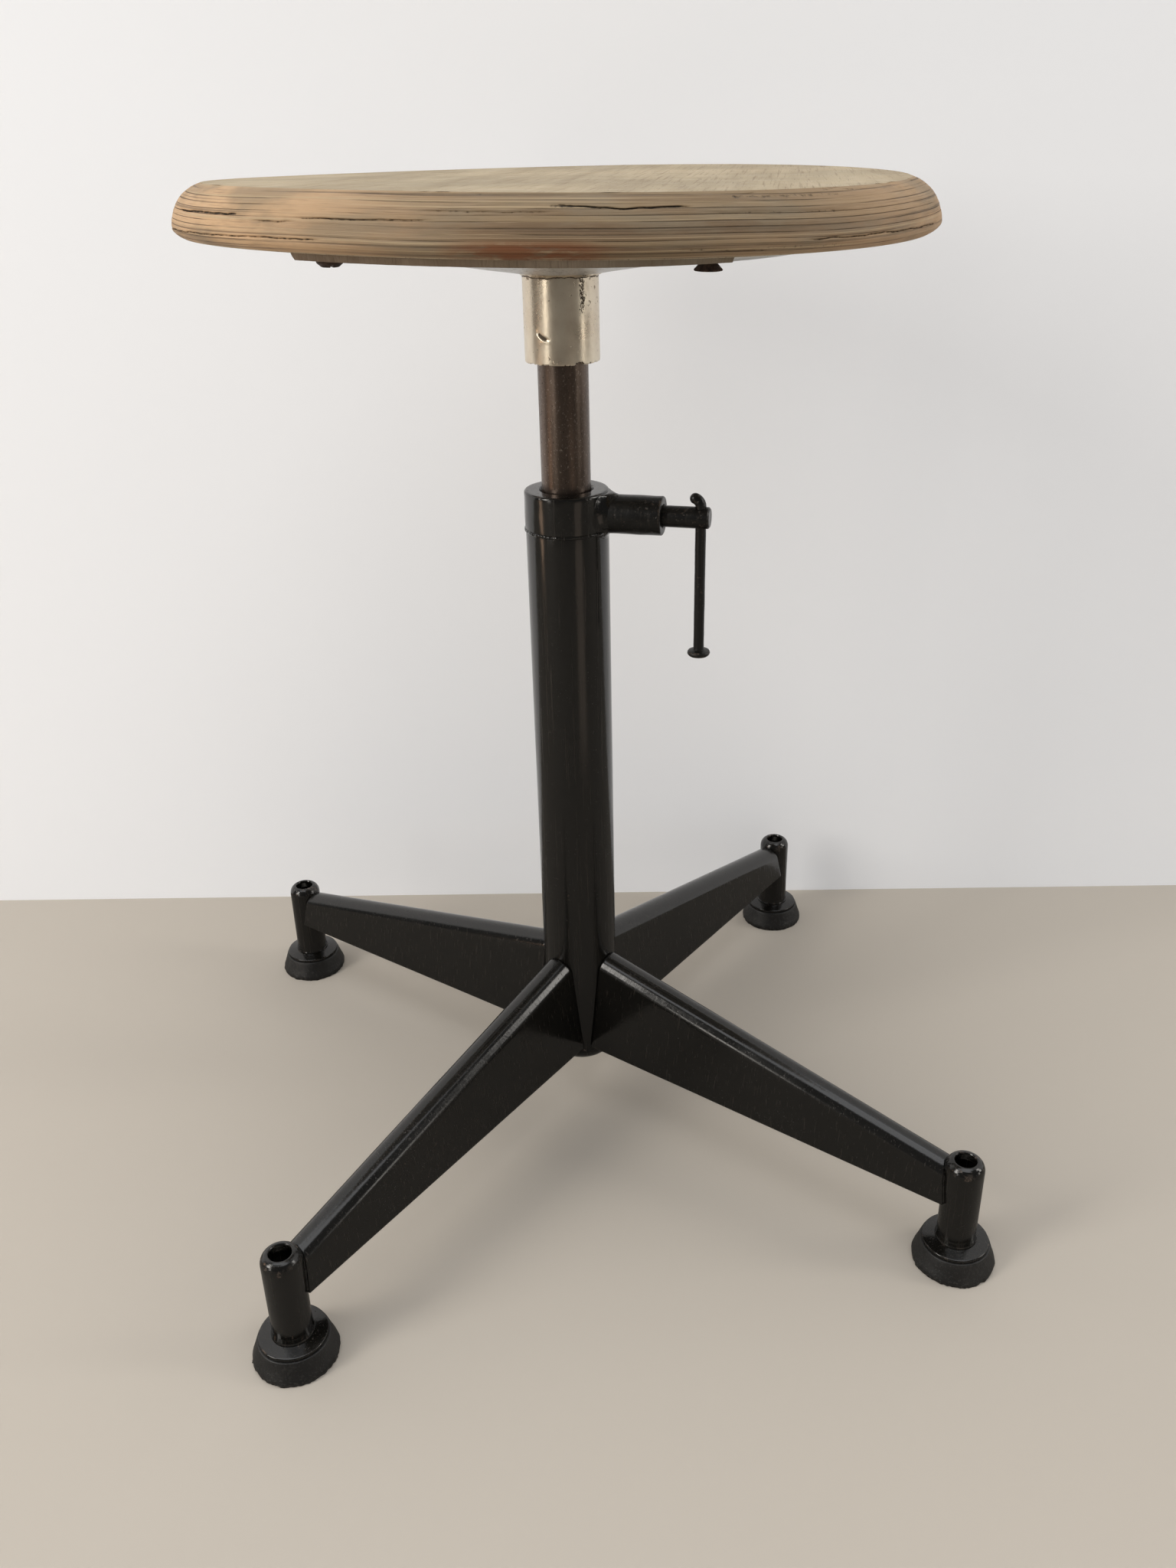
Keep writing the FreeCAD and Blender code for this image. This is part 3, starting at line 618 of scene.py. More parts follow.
def makeVeneer():
    # Face veneer: fibres drawn out along the grain, grey weathering and dark pores.
    group, given, result = makeGroup(
        "veneer",
        [("Vector", "Vector", None), ("Turn", "Float", 0.0), ("Weather", "Float", 0.5)],
        [("Color", "Color"), ("Height", "Float")])
    spun = shaderNode(group, "VectorRotate", {"Vector": given["Vector"], "Angle": given["Turn"]},
                      rotation_type="Z_AXIS").outputs[0]
    bands = grainNode(group, spun, (4.0, 42.0, 10.0), 4.0, 0.6, 0.6)
    fibres = grainNode(group, spun, (14.0, 620.0, 60.0), 3.0, 0.6)
    pores = grainNode(group, spun, (60.0, 1500.0, 60.0), 2.0, 0.6)
    cloud = noiseNode(group, given["Vector"], 9.0, 4.0, 0.6)
    weather = times(group, rampNode(group, cloud, 0.3, 0.7), given["Weather"])
    color = mixColor(group, rampNode(group, bands, 0.35, 0.68), woodTones["pale"], woodTones["sand"])
    color = layered(group, color, (weather, woodTones["grey"]),
                    (rampNode(group, fibres, 0.52, 0.72, 0.0, 0.5), woodTones["brown"]),
                    (rampNode(group, pores, 0.62, 0.74, 0.0, 0.6), woodTones["dark"]))
    height = summed(group, times(group, bands, 0.4), (fibres, -0.6), (pores, -0.5))
    group.links.new(color, result.inputs["Color"])
    group.links.new(height, result.inputs["Height"])
    return group


def makePlyEdge():
    # Ply edge: the height is divided into plies, each with its own tone. Every other ply
    # shows end grain where its neighbours show long grain, which swaps round the edge.
    group, given, result = makeGroup(
        "plyEdge",
        [("Vector", "Vector", None), ("Base", "Float", 0.5282), ("Ply", "Float", 0.0021), ("Crack", "Float", 0.0)],
        [("Color", "Color"), ("Height", "Float")])
    place = given["Vector"]
    parts = partsOf(group, place)
    level = mathNode(group, "SUBTRACT", parts["Z"], given["Base"])
    plies = mathNode(group, "DIVIDE", level, given["Ply"])
    number = mathNode(group, "FLOOR", plies)
    within = mathNode(group, "FRACT", plies)
    tone = shaderNode(group, "TexWhiteNoise", {"W": number}, noise_dimensions="1D").outputs["Value"]
    angle = mathNode(group, "ARCTAN2", parts["Y"], parts["X"])
    swing = mathNode(group, "COSINE", times(group, angle, 2.0))
    odd = mathNode(group, "MODULO", mathNode(group, "ABSOLUTE", number), 2.0)
    endGrain = timesPlus(group, times(group, swing, timesPlus(group, odd, 2.0, -1.0)), 0.5, 0.5)
    # Long bands within a ply, fine fibres over them, and patches of grey weathering.
    lines = grainNode(group, place, (3.5, 3.5, 950.0), 2.0, 0.55)
    fibres = grainNode(group, place, (45.0, 45.0, 2400.0), 3.0, 0.6)
    cloud = grainNode(group, place, (18.0, 18.0, 75.0), 4.0, 0.6)
    # The left side is painted lighter and more yellow: painted light from the left, on wood
    # that is also less weathered there. The far right and the lower plies before it are
    # lighter and more yellow too. The upper plies are paler.
    freshAndLit = mathNode(group, "MAXIMUM", rampNode(group, parts["X"], -0.03, -0.15),
                     rampNode(group, parts["X"], 0.04, 0.17, 0.0, 0.75))
    lowRight = times(group, rampNode(group, parts["X"], 0.0, 0.10), rampNode(group, level, 0.011, 0.004, 0.0, 0.6))
    freshAndLit = mathNode(group, "MAXIMUM", freshAndLit, lowRight)
    blend = timesPlus(group, tone, 0.5, times(group, endGrain, 0.25))
    blend = mathNode(group, "ADD", blend, rampNode(group, level, 0.008, 0.019, 0.0, 0.25))
    rim = times(group, mathNode(group, "ABSOLUTE", mathNode(group, "SUBTRACT", within, 0.5)), 2.0)
    broken = grainNode(group, place, (12.0, 12.0, 200.0), 3.0, 0.6)
    glue = times(group, rampNode(group, rim, 0.80, 0.96), rampNode(group, broken, 0.42, 0.58))
    # A crack's mark is eaten by noise: a strong mark stays a crack, a weak one breaks into pits.
    # Their black is painted shade inside the open cracks and pits.
    nicks = grainNode(group, place, (480.0, 480.0, 320.0), 2.0, 0.6)
    crack = rampNode(group, timesPlus(group, nicks, 0.9, given["Crack"]), 0.86, 1.30, 0.0, 0.95)
    # The lighter, more yellow layer on the left side is painted light from the left.
    color = mixColor(group, rampNode(group, blend, 0.15, 0.95), woodTones["brown"], woodTones["tan"])
    color = layered(group, color, (rampNode(group, cloud, 0.42, 0.66, 0.0, 0.65), woodTones["grey"]),
                    (times(group, freshAndLit, rampNode(group, cloud, 0.66, 0.40, 0.35, 1.0)), woodTones["gold"]),
                    (rampNode(group, lines, 0.40, 0.28, 0.0, 0.65), woodTones["cream"]),
                    (rampNode(group, lines, 0.55, 0.68, 0.0, 0.55), woodTones["dark"]),
                    (rampNode(group, fibres, 0.56, 0.74, 0.0, 0.35), woodTones["dark"]),
                    (rampNode(group, fibres, 0.44, 0.28, 0.0, 0.3), woodTones["cream"]),
                    (times(group, glue, 0.7), woodTones["dark"]), (crack, woodTones["black"]))
    height = summed(group, times(group, endGrain, -0.3), (lines, -0.7), (fibres, -0.3), (glue, -0.8), (crack, -1.5))
    group.links.new(color, result.inputs["Color"])
    group.links.new(height, result.inputs["Height"])
    return group


veneer = makeVeneer()
plyEdge = makePlyEdge()


def flatPlace(tree, place):
    # The place in the board before it warped, so that the plies follow the warp.
    parts = partsOf(tree, place)
    return shaderNode(tree, "CombineXYZ", {"X": parts["X"], "Y": parts["Y"], "Z": markOf(tree, "rise")}).outputs[0]


def makeSeatWood():
    # Veneer on the faces, plies round the edge, and a rust stain low at the front.
    settings = {"grainTurn": math.radians(-73), "weather": 0.45, "stainAngle": math.radians(-101.4),
                "stainHeart": 0.06, "stainReach": 0.22, "stainLow": 0.5325, "stainHigh": 0.5360}
    material, tree, place = newMaterial("weatheredPlywood")
    place = flatPlace(tree, place)
    face = placeGroup(tree, veneer, {"Vector": place, "Turn": settings["grainTurn"], "Weather": settings["weather"]})
    edge = placeGroup(tree, plyEdge, {"Vector": place, "Crack": markOf(tree, "crack")})
    share = markOf(tree, "edgeShare")
    color = mixColor(tree, share, face["Color"], edge["Color"])
    parts = partsOf(tree, place)
    off = apart(tree, mathNode(tree, "ARCTAN2", parts["Y"], parts["X"]), settings["stainAngle"], 0.0)
    near = rampNode(tree, off, settings["stainHeart"], settings["stainReach"], 1.0, 0.0)
    low = rampNode(tree, parts["Z"], settings["stainLow"], settings["stainHigh"], 1.0, 0.0)
    blotch = grainNode(tree, place, (60.0, 60.0, 260.0), 4.0, 0.65)
    stain = times(tree, times(tree, near, low), rampNode(tree, blotch, 0.32, 0.55))
    color = mixColor(tree, times(tree, stain, 0.8), color, woodTones["rust"])
    roughness = rampNode(tree, blotch, 0.3, 0.7, 0.62, 0.82)
    height = shaderNode(tree, "Mix", {0: share, 2: face["Height"], 3: edge["Height"]}, data_type="FLOAT").outputs[0]
    finish(tree, color, roughness, 0.0, height, 0.0006, 0.7, **{"Specular IOR Level": 0.3})
    return material


def makeBottomPlyWood():
    # Brown on the left, greyer towards the right, with the fibres of the split face.
    settings = {"left": (0.105, 0.066, 0.046, 1), "right": (0.15, 0.125, 0.10, 1), "grainTurn": math.radians(98)}
    material, tree, place = newMaterial("bottomPlyWood")
    place = flatPlace(tree, place)
    face = placeGroup(tree, veneer, {"Vector": place, "Turn": settings["grainTurn"], "Weather": 1.0})
    cloud = noiseNode(tree, place, 25.0, 4.0, 0.65)
    across = rampNode(tree, partsOf(tree, place)["X"], -0.10, 0.04)
    toned = mixColor(tree, across, settings["left"], settings["right"])
    toned = mixColor(tree, rampNode(tree, cloud, 0.4, 0.7, 0.0, 0.6), toned, woodTones["dark"])
    color = mixColor(tree, 0.25, toned, face["Color"])
    roughness = rampNode(tree, cloud, 0.3, 0.7, 0.65, 0.85)
    finish(tree, color, roughness, 0.0, face["Height"], 0.0006, 0.8, **{"Specular IOR Level": 0.3})
    return material


seatWood = makeSeatWood()
bottomPlyWood = makeBottomPlyWood()
print("materials ready")


# Feet

def makeFeet():
    # Rubber, washer and socket are each a closed profile turned about the foot's own upright axis.
    rubber = {"topRadius": 18.9, "recessRadius": 14.6, "recessDepth": 5.5, "bore": 8.45, "toe": 2.2,
              "ragged": 1.1, "burr": 1.6, "wave": 0.18, "inward": 0.2}
    washer = {"edge": 2.0, "hubRadius": 11.6, "bore": 8.45}
    socket = {"radius": 10.65, "wall": 2.2, "mouth": 6.0, "dome": 6.0, "flare": 0.9, "flareHeight": 4.0}
    for number, corner in enumerate(corners):
        low, high = boxOf("rubber_foot_" + corner)
        centre = middleOf("rubber_foot_" + corner) * (1, 1, 0)
        baseRadius, top = (high[0] - low[0]) / 2, high[2]
        outline = softOutline([
            (rubber["recessRadius"], 0, 0.4), (baseRadius, 0, 0.5), (baseRadius, rubber["toe"], 1.6),
            (rubber["topRadius"], top, 0.6), (rubber["bore"], top, 0.2), (rubber["bore"], rubber["recessDepth"], 0.2),
            (rubber["recessRadius"], rubber["recessDepth"], 0.4)], 1.2)
        # The lip frays: its radius shrinks by noise that fades within a few millimetres of the floor.
        columns = 220
        angle = fullCircle(columns)
        fray = roundNoise(angle, 9, number * 3.7, 5 + number, 4, 20)
        height = outline[0][:, 1][:, None]
        outer = smoothStep(19.0, 21.5, outline[0][:, 0])[:, None]
        grow = -rubber["ragged"] * (0.5 + 0.5 * fray)[None] * outer * (1 - smoothStep(0.4, 3.5, height))
        grow = grow + rubber["burr"] * smoothStep(0.75, 1.3, fray)[None] * outer * (1 - smoothStep(0.2, 2.0, height))
        wave = roundNoise(angle, 2.2, number * 1.3, 11, 2, 7)
        grow = grow + rubber["wave"] * wave[None] * outer - rubber["inward"] * outer
        addSurface("rubber_" + corner, [ringGrid(outline, columns, True, centre=centre, grow=grow)],
                   footRubber, "column", "rubber_foot_" + corner)

        low, high = boxOf("foot_washer_" + corner)
        radius, base, crown = (high[0] - low[0]) / 2, low[2], high[2]
        outline = softOutline([
            (washer["bore"], base, 0), (radius, base, 0.4), (radius, base + washer["edge"], 0.55),
            (washer["hubRadius"], crown - 0.1, 0.8), (washer["bore"], crown, 0)], 1.0)
        addSurface("washer_" + corner, [ringGrid(outline, 160, True, centre=centre)],
                   blackPaint, "column", "foot_washer_" + corner)

        base, top = levelsOf("foot_socket_" + corner)
        shoulder = top - socket["dome"]
        share = np.linspace(0, 1, 9)[1:-1] * math.pi / 2
        domeOut = [(socket["mouth"] + (socket["radius"] - socket["mouth"]) * math.cos(a),
                    shoulder + socket["dome"] * math.sin(a), 0.5) for a in share]
        inner = socket["radius"] - socket["wall"]
        outline = softOutline(
            [(inner, base, 0.2), (socket["radius"] + socket["flare"], base, 0.3),
             (socket["radius"] + socket["flare"] * 0.35, base + 1.2, 1.2),
             (socket["radius"], base + socket["flareHeight"], 3.0), (socket["radius"], shoulder, 0.5)]
            + domeOut + [(socket["mouth"] + 0.2, top, 0.45), (socket["mouth"] - 0.35, top - 0.9, 0.5),
                         (socket["mouth"], top - 2.0, 0.4), (inner, shoulder - 1.0, 1.5)], 1.5)
        addSurface("socket_" + corner, [ringGrid(outline, 128, True, centre=centre)],
                   blackPaint, "column", "foot_socket_" + corner)
    print("feet ready")


# Legs

legShape = {
    "crownNear": 7.4, "crownFar": 6.3, "halfNear": 13.0, "halfFar": 8.6, "sheet": 2.0,
    "footCircle": 256.0, "columnBore": 19.65, "columnRadius": 22.25, "socketRadius": 10.65,
    "topFar": 63.0, "topNear": 113.0, "bottomFar": 43.0, "bottomNear": 51.0,
}


def legSection(reach, across):
    # A channel's outline at a reach from the column's axis. Across runs from -1 to 1: the
    # outer quarters are straight splayed sides, the middle is a round crown tangent to them.
    s = legShape
    share = (reach - s["columnRadius"]) / (s["footCircle"] - s["columnRadius"])
    top = s["topNear"] + (s["topFar"] - s["topNear"]) * share
    bottom = s["bottomNear"] + (s["bottomFar"] - s["bottomNear"]) * share
    loft = (reach - s["columnBore"]) / (s["footCircle"] - s["columnBore"])
    crown = s["crownNear"] + (s["crownFar"] - s["crownNear"]) * loft
    half = s["halfNear"] + (s["halfFar"] - s["halfNear"]) * loft
    crownHeight = top - crown
    drop = bottom - crownHeight
    angle = np.arctan2(drop, half) + np.arccos(crown / np.hypot(half, drop))
    size = np.abs(across)
    side = np.sign(across)
    turn = math.pi / 2 - (math.pi / 2 - angle) * np.clip(size / 0.5, 0, 1)
    onCrown = (crown * np.cos(turn), crownHeight + crown * np.sin(turn))
    fall = np.clip((size - 0.5) / 0.5, 0, 1)
    y = onCrown[0] + (half - onCrown[0]) * fall
    z = onCrown[1] + (bottom - onCrown[1]) * fall
    return y * side, z


def makeLegs():
    # A leg is a grid: its rows run from the column's round side to the foot socket's, and its
    # columns over the channel's section there. Slow noise dents it, and a wall is added inwards.
    rows, columns = 160, 57
    share = np.linspace(0, 1, rows)[:, None] * np.ones(columns)
    across = np.linspace(-1, 1, columns)[None] * np.ones((rows, 1))
    s = legShape
    reach = s["columnRadius"] + (s["footCircle"] - s["socketRadius"] - s["columnRadius"]) * share
    for _ in range(4):
        # Both ends follow round tubes, so the reach depends on the width found so far.
        y, z = legSection(reach, across)
        near = np.sqrt(np.maximum(s["columnRadius"] ** 2 - y ** 2, 1))
        far = s["footCircle"] - np.sqrt(np.maximum(s["socketRadius"] ** 2 - y ** 2, 1))
        reach = near + (far - near) * share
    for number, corner in enumerate(corners):
        middle = middleOf("foot_socket_" + corner)
        turn = math.atan2(middle[1], middle[0])
        dent = 0.12 * layeredNoise(reach / 45 + 9 * number, z / 30, y / 30, 31, 2)
        sideways = y + dent * np.sign(y) * smoothStep(3, 7, np.abs(y))
        points = np.stack([
            reach * math.cos(turn) - sideways * math.sin(turn),
            reach * math.sin(turn) + sideways * math.cos(turn),
            z + dent * 0.5], 2)
        leg = addSurface("channel_" + corner, [{"points": points, "wrapColumns": False}],
                         blackPaint, "column", "leg_" + corner)
        wall = leg.modifiers.new("wall", "SOLIDIFY")
        wall.thickness = s["sheet"] * mm
        wall.offset = -1
        edge = leg.modifiers.new("edge", "BEVEL")
        edge.width = 0.5 * mm
        edge.segments = 2
        edge.limit_method = "ANGLE"
        edge.angle_limit = math.radians(50)
        makeLegWelds(corner, reach, sideways, z + dent * 0.5, turn, number)
    print("legs ready")


def bead(path, radius, sides, seed, wobble):
    # A round bead carried along an open path: each ring lies across the path's direction,
    # its radius swells and shrinks by noise and closes to a point at both ends.
    ahead = np.gradient(path, axis=0)
    ahead /= np.linalg.norm(ahead, axis=1)[:, None]
    first = np.cross(ahead, (0.31, 0.17, 0.93))
    first /= np.linalg.norm(first, axis=1)[:, None]
    second = np.cross(ahead, first)
    angle = fullCircle(sides)
    run = np.concatenate([[0], np.cumsum(np.linalg.norm(np.diff(path, axis=0), axis=1))])
    swell = radius * (1 + wobble * layeredNoise(run / 2.2, run * 0, run * 0 + seed, seed, 2))
    ends = smoothStep(0, radius * 2, run) * smoothStep(0, radius * 2, run[-1] - run)
    swell = swell * np.sqrt(np.clip(ends, 0.01, 1))
    ring = np.cos(angle)[None, :, None] * first[:, None] + np.sin(angle)[None, :, None] * second[:, None]
    return {"points": path[:, None] + swell[:, None, None] * ring, "poles": (True, True)}


def makeLegWelds(corner, reach, sideways, z, turn, number):
    # One bead follows the section at each end of the leg.
    weld = {"footRadius": 1.15, "columnRadius": 0.9}
    grids = []
    for row, radius, push in ((-1, weld["footRadius"], -0.2), (0, weld["columnRadius"], 0.2)):
        path = np.stack([
            (reach[row] + push) * math.cos(turn) - sideways[row] * math.sin(turn),
            (reach[row] + push) * math.sin(turn) + sideways[row] * math.cos(turn),
            z[row]], 1)
        dense = np.linspace(0, len(path) - 1, 160)
        path = np.stack([np.interp(dense, np.arange(len(path)), path[:, k]) for k in range(3)], 1)
        grids.append(bead(path, radius, 12, 40 + number, 0.3))
    addSurface("leg_welds_" + corner, grids, blackPaint, "column", slot="black_paint")


# Column and clamp

def makeColumn():
    # Tube, plug and collar are profiles turned about the column's axis.
    column = {"radius": 22.25, "wall": 2.6}
    base, seam = levelsOf("column_tube")
    inner = column["radius"] - column["wall"]
    outline = softOutline([(inner, base, 0.3), (column["radius"], base, 0.5), (column["radius"], seam - 0.4, 0.6),
                           (column["radius"] - 0.9, seam, 0.3), (inner, seam, 0)], 6)
    addSurface("main_tube", [ringGrid(outline, 192, True)], blackPaint, "column", "column_tube")

    # The plug's outline is a flat, a quarter of an ellipse up to the rim, and a spigot in the tube.
    plug = {"flat": 7.0, "rim": 48.0, "drop": 12.0}
    base, top = levelsOf("column_plug")
    bulge = column["radius"] - plug["flat"]
    dome = [(plug["flat"] + bulge * math.cos(a), plug["rim"] - plug["drop"] * math.sin(a), 0.8)
            for a in np.linspace(0, math.pi / 2, 9)[1:-1]]
    profile = softOutline(
        [(0.01, base, 0), (plug["flat"], base, 2.5)] + dome[::-1]
        + [(column["radius"], plug["rim"], 0.2), (inner, plug["rim"], 0), (inner, top, 0.4), (0.01, top, 0)],
        2, closed=False)
    addSurface("foot_plug", [ringGrid(profile, 160, False)], blackPaint, "column", "column_plug")

    collar = {"radius": 22.6, "bore": 13.06, "lip": 21.4, "edge": 1.3, "mouth": 14.5, "mouthDepth": 2.6}
    base, top = levelsOf("clamp_collar")
    outline = softOutline([
        (collar["bore"], base, 0.3), (inner, base, 0.3), (inner, seam, 0), (collar["lip"], seam, 0),
        (collar["radius"], seam + 1.1, 0.3), (collar["radius"], top, collar["edge"]), (collar["mouth"], top, 0.45),
        (collar["bore"], top - collar["mouthDepth"], 0.2)], 2)
    columns = 220
    sag = 0.10 * roundNoise(fullCircle(columns), 3, outline[0][:, 1][:, None] / 9, 77, 2, 5)
    outer = smoothStep(16, 20, outline[0][:, 0])[:, None]
    addSurface("collar", [ringGrid(outline, columns, True, grow=sag * outer - 0.08 * outer)],
               blackPaint, "column", "clamp_collar")

    # The seam's bead: a small ring whose crest rises and falls round the column.
    crest = {"radius": 22.3, "across": 0.80, "tall": 0.95, "lift": 0.25}
    around = fullCircle(420)[None]
    section = fullCircle(14)[:, None]
    lump = roundNoise(around, 14, 3.3, 91, 3)
    slow = roundNoise(around, 2, 8.3, 17, 2)
    radius = crest["radius"] + (crest["across"] + 0.25 * lump) * np.cos(section)
    height = seam + crest["lift"] + 0.5 * slow + (crest["tall"] + 0.3 * lump) * np.sin(section)
    addSurface("seam_bead", [{"points": polar(radius, around, height), "wrapRows": True}],
               blackPaint, "column", "collar_weld")
    print("column ready")


clampShape = {
    "angle": math.radians(-23.9), "height": 388.7, "bossRadius": 10.3, "bossReach": 52.3, "bore": 5.68,
    "collarRadius": 22.6, "weldTop": 7.5, "weldSide": 5.2, "weldBelow": 2.6, "weldRoof": 0.9, "coreReach": 17.0,
    "coreRadius": 8.0,
}


def clampFrame():
    along = np.array([math.cos(clampShape["angle"]), math.sin(clampShape["angle"]), 0.0])
    return along, np.cross((0, 0, 1), along)


def makeClamp():
    # The boss is a closed profile turned about the clamp screw's level axis.
    s = clampShape
    along, side = clampFrame()
    upward = np.array([0, 0, 1.0])
    centre = upward * s["height"]
    outline = softOutline([
        (s["bore"], 16.0, 0), (s["bossRadius"], 16.0, 0), (s["bossRadius"], s["bossReach"], 0.9),
        (s["bore"] + 0.5, s["bossReach"], 0.4), (s["bore"], s["bossReach"] - 1.2, 0)], 1.5)
    columns = 160
    sag = 0.12 * roundNoise(fullCircle(columns), 2.5, outline[0][:, 1][:, None] / 8, 23, 2)
    addSurface("boss", [ringGrid(outline, columns, True, centre=centre, axis=along,
                                 grow=(sag - 0.08) * (outline[0][:, 0] > 9)[:, None])],
               mattBlack, "column", "clamp_boss")

    # The weld: at each angle round the boss a hollow quarter arc runs from the boss to the
    # collar's round side. Its leg is long above, shorter at the sides and least below.
    rows, columns = 22, 200
    turn = fullCircle(columns)[None]
    share = np.linspace(0, 1, rows)[:, None]
    above, below = np.maximum(np.sin(turn), 0), np.maximum(-np.sin(turn), 0)
    leg = s["weldSide"] + above ** 2 * (s["weldTop"] - s["weldSide"]) + below ** 2 * (s["weldBelow"] - s["weldSide"])
    leg = leg * (1 + 0.10 * roundNoise(turn, 3, share * 2, 61, 3))
    arc = share * math.pi / 2
    radius = s["bossRadius"] - 0.25 + (leg + 0.25) * (1 - np.cos(arc))
    rise = (leg + 0.4) * (1 - np.sin(arc))
    across, up = radius * np.cos(turn), radius * np.sin(turn)
    # Above, the fillet flattens out below the collar's top.
    roof = levelsOf("clamp_collar")[1] - s["weldRoof"] - s["height"]
    up = np.where(up > roof - 1.5, roof - 1.5 + 1.5 * np.tanh((up - roof + 1.5) / 1.5), up)
    reach = np.sqrt(np.maximum(s["collarRadius"] ** 2 - across ** 2, 30.0)) - 0.35 + rise
    points = centre + reach[..., None] * along + across[..., None] * side + up[..., None] * upward
    core = np.cos(turn)[..., None] * side + np.sin(turn)[..., None] * upward
    core = centre + s["coreReach"] * along + s["coreRadius"] * core
    points = np.concatenate([core, points], 0)
    addSurface("boss_fillet", [{"points": points, "wrapRows": True}], blackPaint, "column", "boss_weld")

    makeTommyBar(along, side)
    print("clamp ready")


def makeTommyBar(along, side):
    # A round bar carried along a straight run and a bend towards the column. Its radius
    # follows the run: an upset head below, the shank, and a half-round end.
    bar = {"radius": 2.85, "headRadius": 6.3, "head": 3.6, "bendRadius": 4.4, "bend": math.radians(72), "reach": 72.1,
           "bendAbove": 5.8}
    bottom = levelsOf("tommy_bar")[0]
    straight = clampShape["height"] + bar["bendAbove"] - bottom
    profile, sharp = softOutline([
        (0.01, 0, 0), (bar["headRadius"] * 0.8, 0.1, 1.2), (bar["headRadius"], 1.5, 1.1),
        (bar["headRadius"] * 0.93, bar["head"] - 0.6, 0.7), (bar["radius"] + 0.9, bar["head"] - 0.1, 0.5),
        (bar["radius"] + 0.12, bar["head"] + 0.1, 0.2), (bar["radius"], bar["head"] + 1.4, 0.8),
        (bar["radius"], straight, 0)], 1.2, closed=False)
    bendRun = bar["bendRadius"] * bar["bend"]
    bendSteps = np.linspace(0, bendRun, 24)[1:]
    tip = np.linspace(0, math.pi / 2, 9)[1:-1]
    run = np.concatenate([profile[:, 1], straight + bendSteps, straight + bendRun + bar["radius"] * np.sin(tip)])
    radius = np.concatenate([profile[:, 0], np.full(len(bendSteps), bar["radius"]), bar["radius"] * np.cos(tip)])
    turn = np.clip((run - straight) / bar["bendRadius"], 0, bar["bend"])
    beyond = np.maximum(run - straight - bendRun, 0)
    upward = np.array([0, 0, 1.0])
    foot = along * bar["reach"] + upward * bottom
    forward = np.cos(turn)[:, None] * upward - np.sin(turn)[:, None] * along
    outward = np.cos(turn)[:, None] * along + np.sin(turn)[:, None] * upward
    bendCentre = foot + upward * straight - along * bar["bendRadius"]
    middle = np.where((run > straight)[:, None],
                      bendCentre + outward * bar["bendRadius"] + forward * beyond[:, None],
                      foot + upward * run[:, None])
    columns = 48
    angle = fullCircle(columns)[None, :, None]
    wobble = 1 + 0.02 * layeredNoise(run[:, None, None] / 6, np.cos(angle) * 1.3, np.sin(angle) * 1.3, 3, 2)
    ring = np.cos(angle) * outward[:, None] + np.sin(angle) * side
    points = middle[:, None] + radius[:, None, None] * wobble * ring
    wear = np.zeros((len(run), 1))
    wear[:len(sharp), 0] = np.maximum(sharp, 0)
    addSurface("bar", [{"points": points, "poles": (True, True), "wear": wear}], mattBlack, "tommy_bar", "tommy_bar")


# Post and seat socket

def makePost():
    # A turned bar with both of its edges rounded.
    post = {"radius": 13.0, "edge": 1.2}
    base, top = levelsOf("post")
    profile = softOutline([(0.01, base, 0), (post["radius"], base, post["edge"]),
                           (post["radius"], top, post["edge"]), (0.01, top, 0)], 5, closed=False)
    addSurface("post_bar", [ringGrid(profile, 160, False)], postSteel, "post", "post")
    print("post ready")


seatWarp = {"heading": math.radians(81.53), "rise": 0.14, "lean": -0.0113, "tip": 0.00139, "twist": 7.42e-5}


def warped(points):
    # The seat sits askew and has twisted a little. Across and away are a point's places as
    # seen in the photograph: it rises by rise + lean * across + tip * away + twist * across * away.
    w = seatWarp
    across = points[..., 0] * math.sin(w["heading"]) - points[..., 1] * math.cos(w["heading"])
    away = points[..., 0] * math.cos(w["heading"]) + points[..., 1] * math.sin(w["heading"])
    lifted = np.array(points, float)
    lifted[..., 2] += w["rise"] + w["lean"] * across + w["tip"] * away + w["twist"] * across * away
    return lifted


def addMark(piece, name, values, ends):
    # One value for each point of a grid, and one for each of its two poles.
    layer = piece.data.attributes.new(name, "FLOAT", "POINT")
    layer.data.foreach_set("value", np.append(np.ravel(values), ends).astype(np.float32))


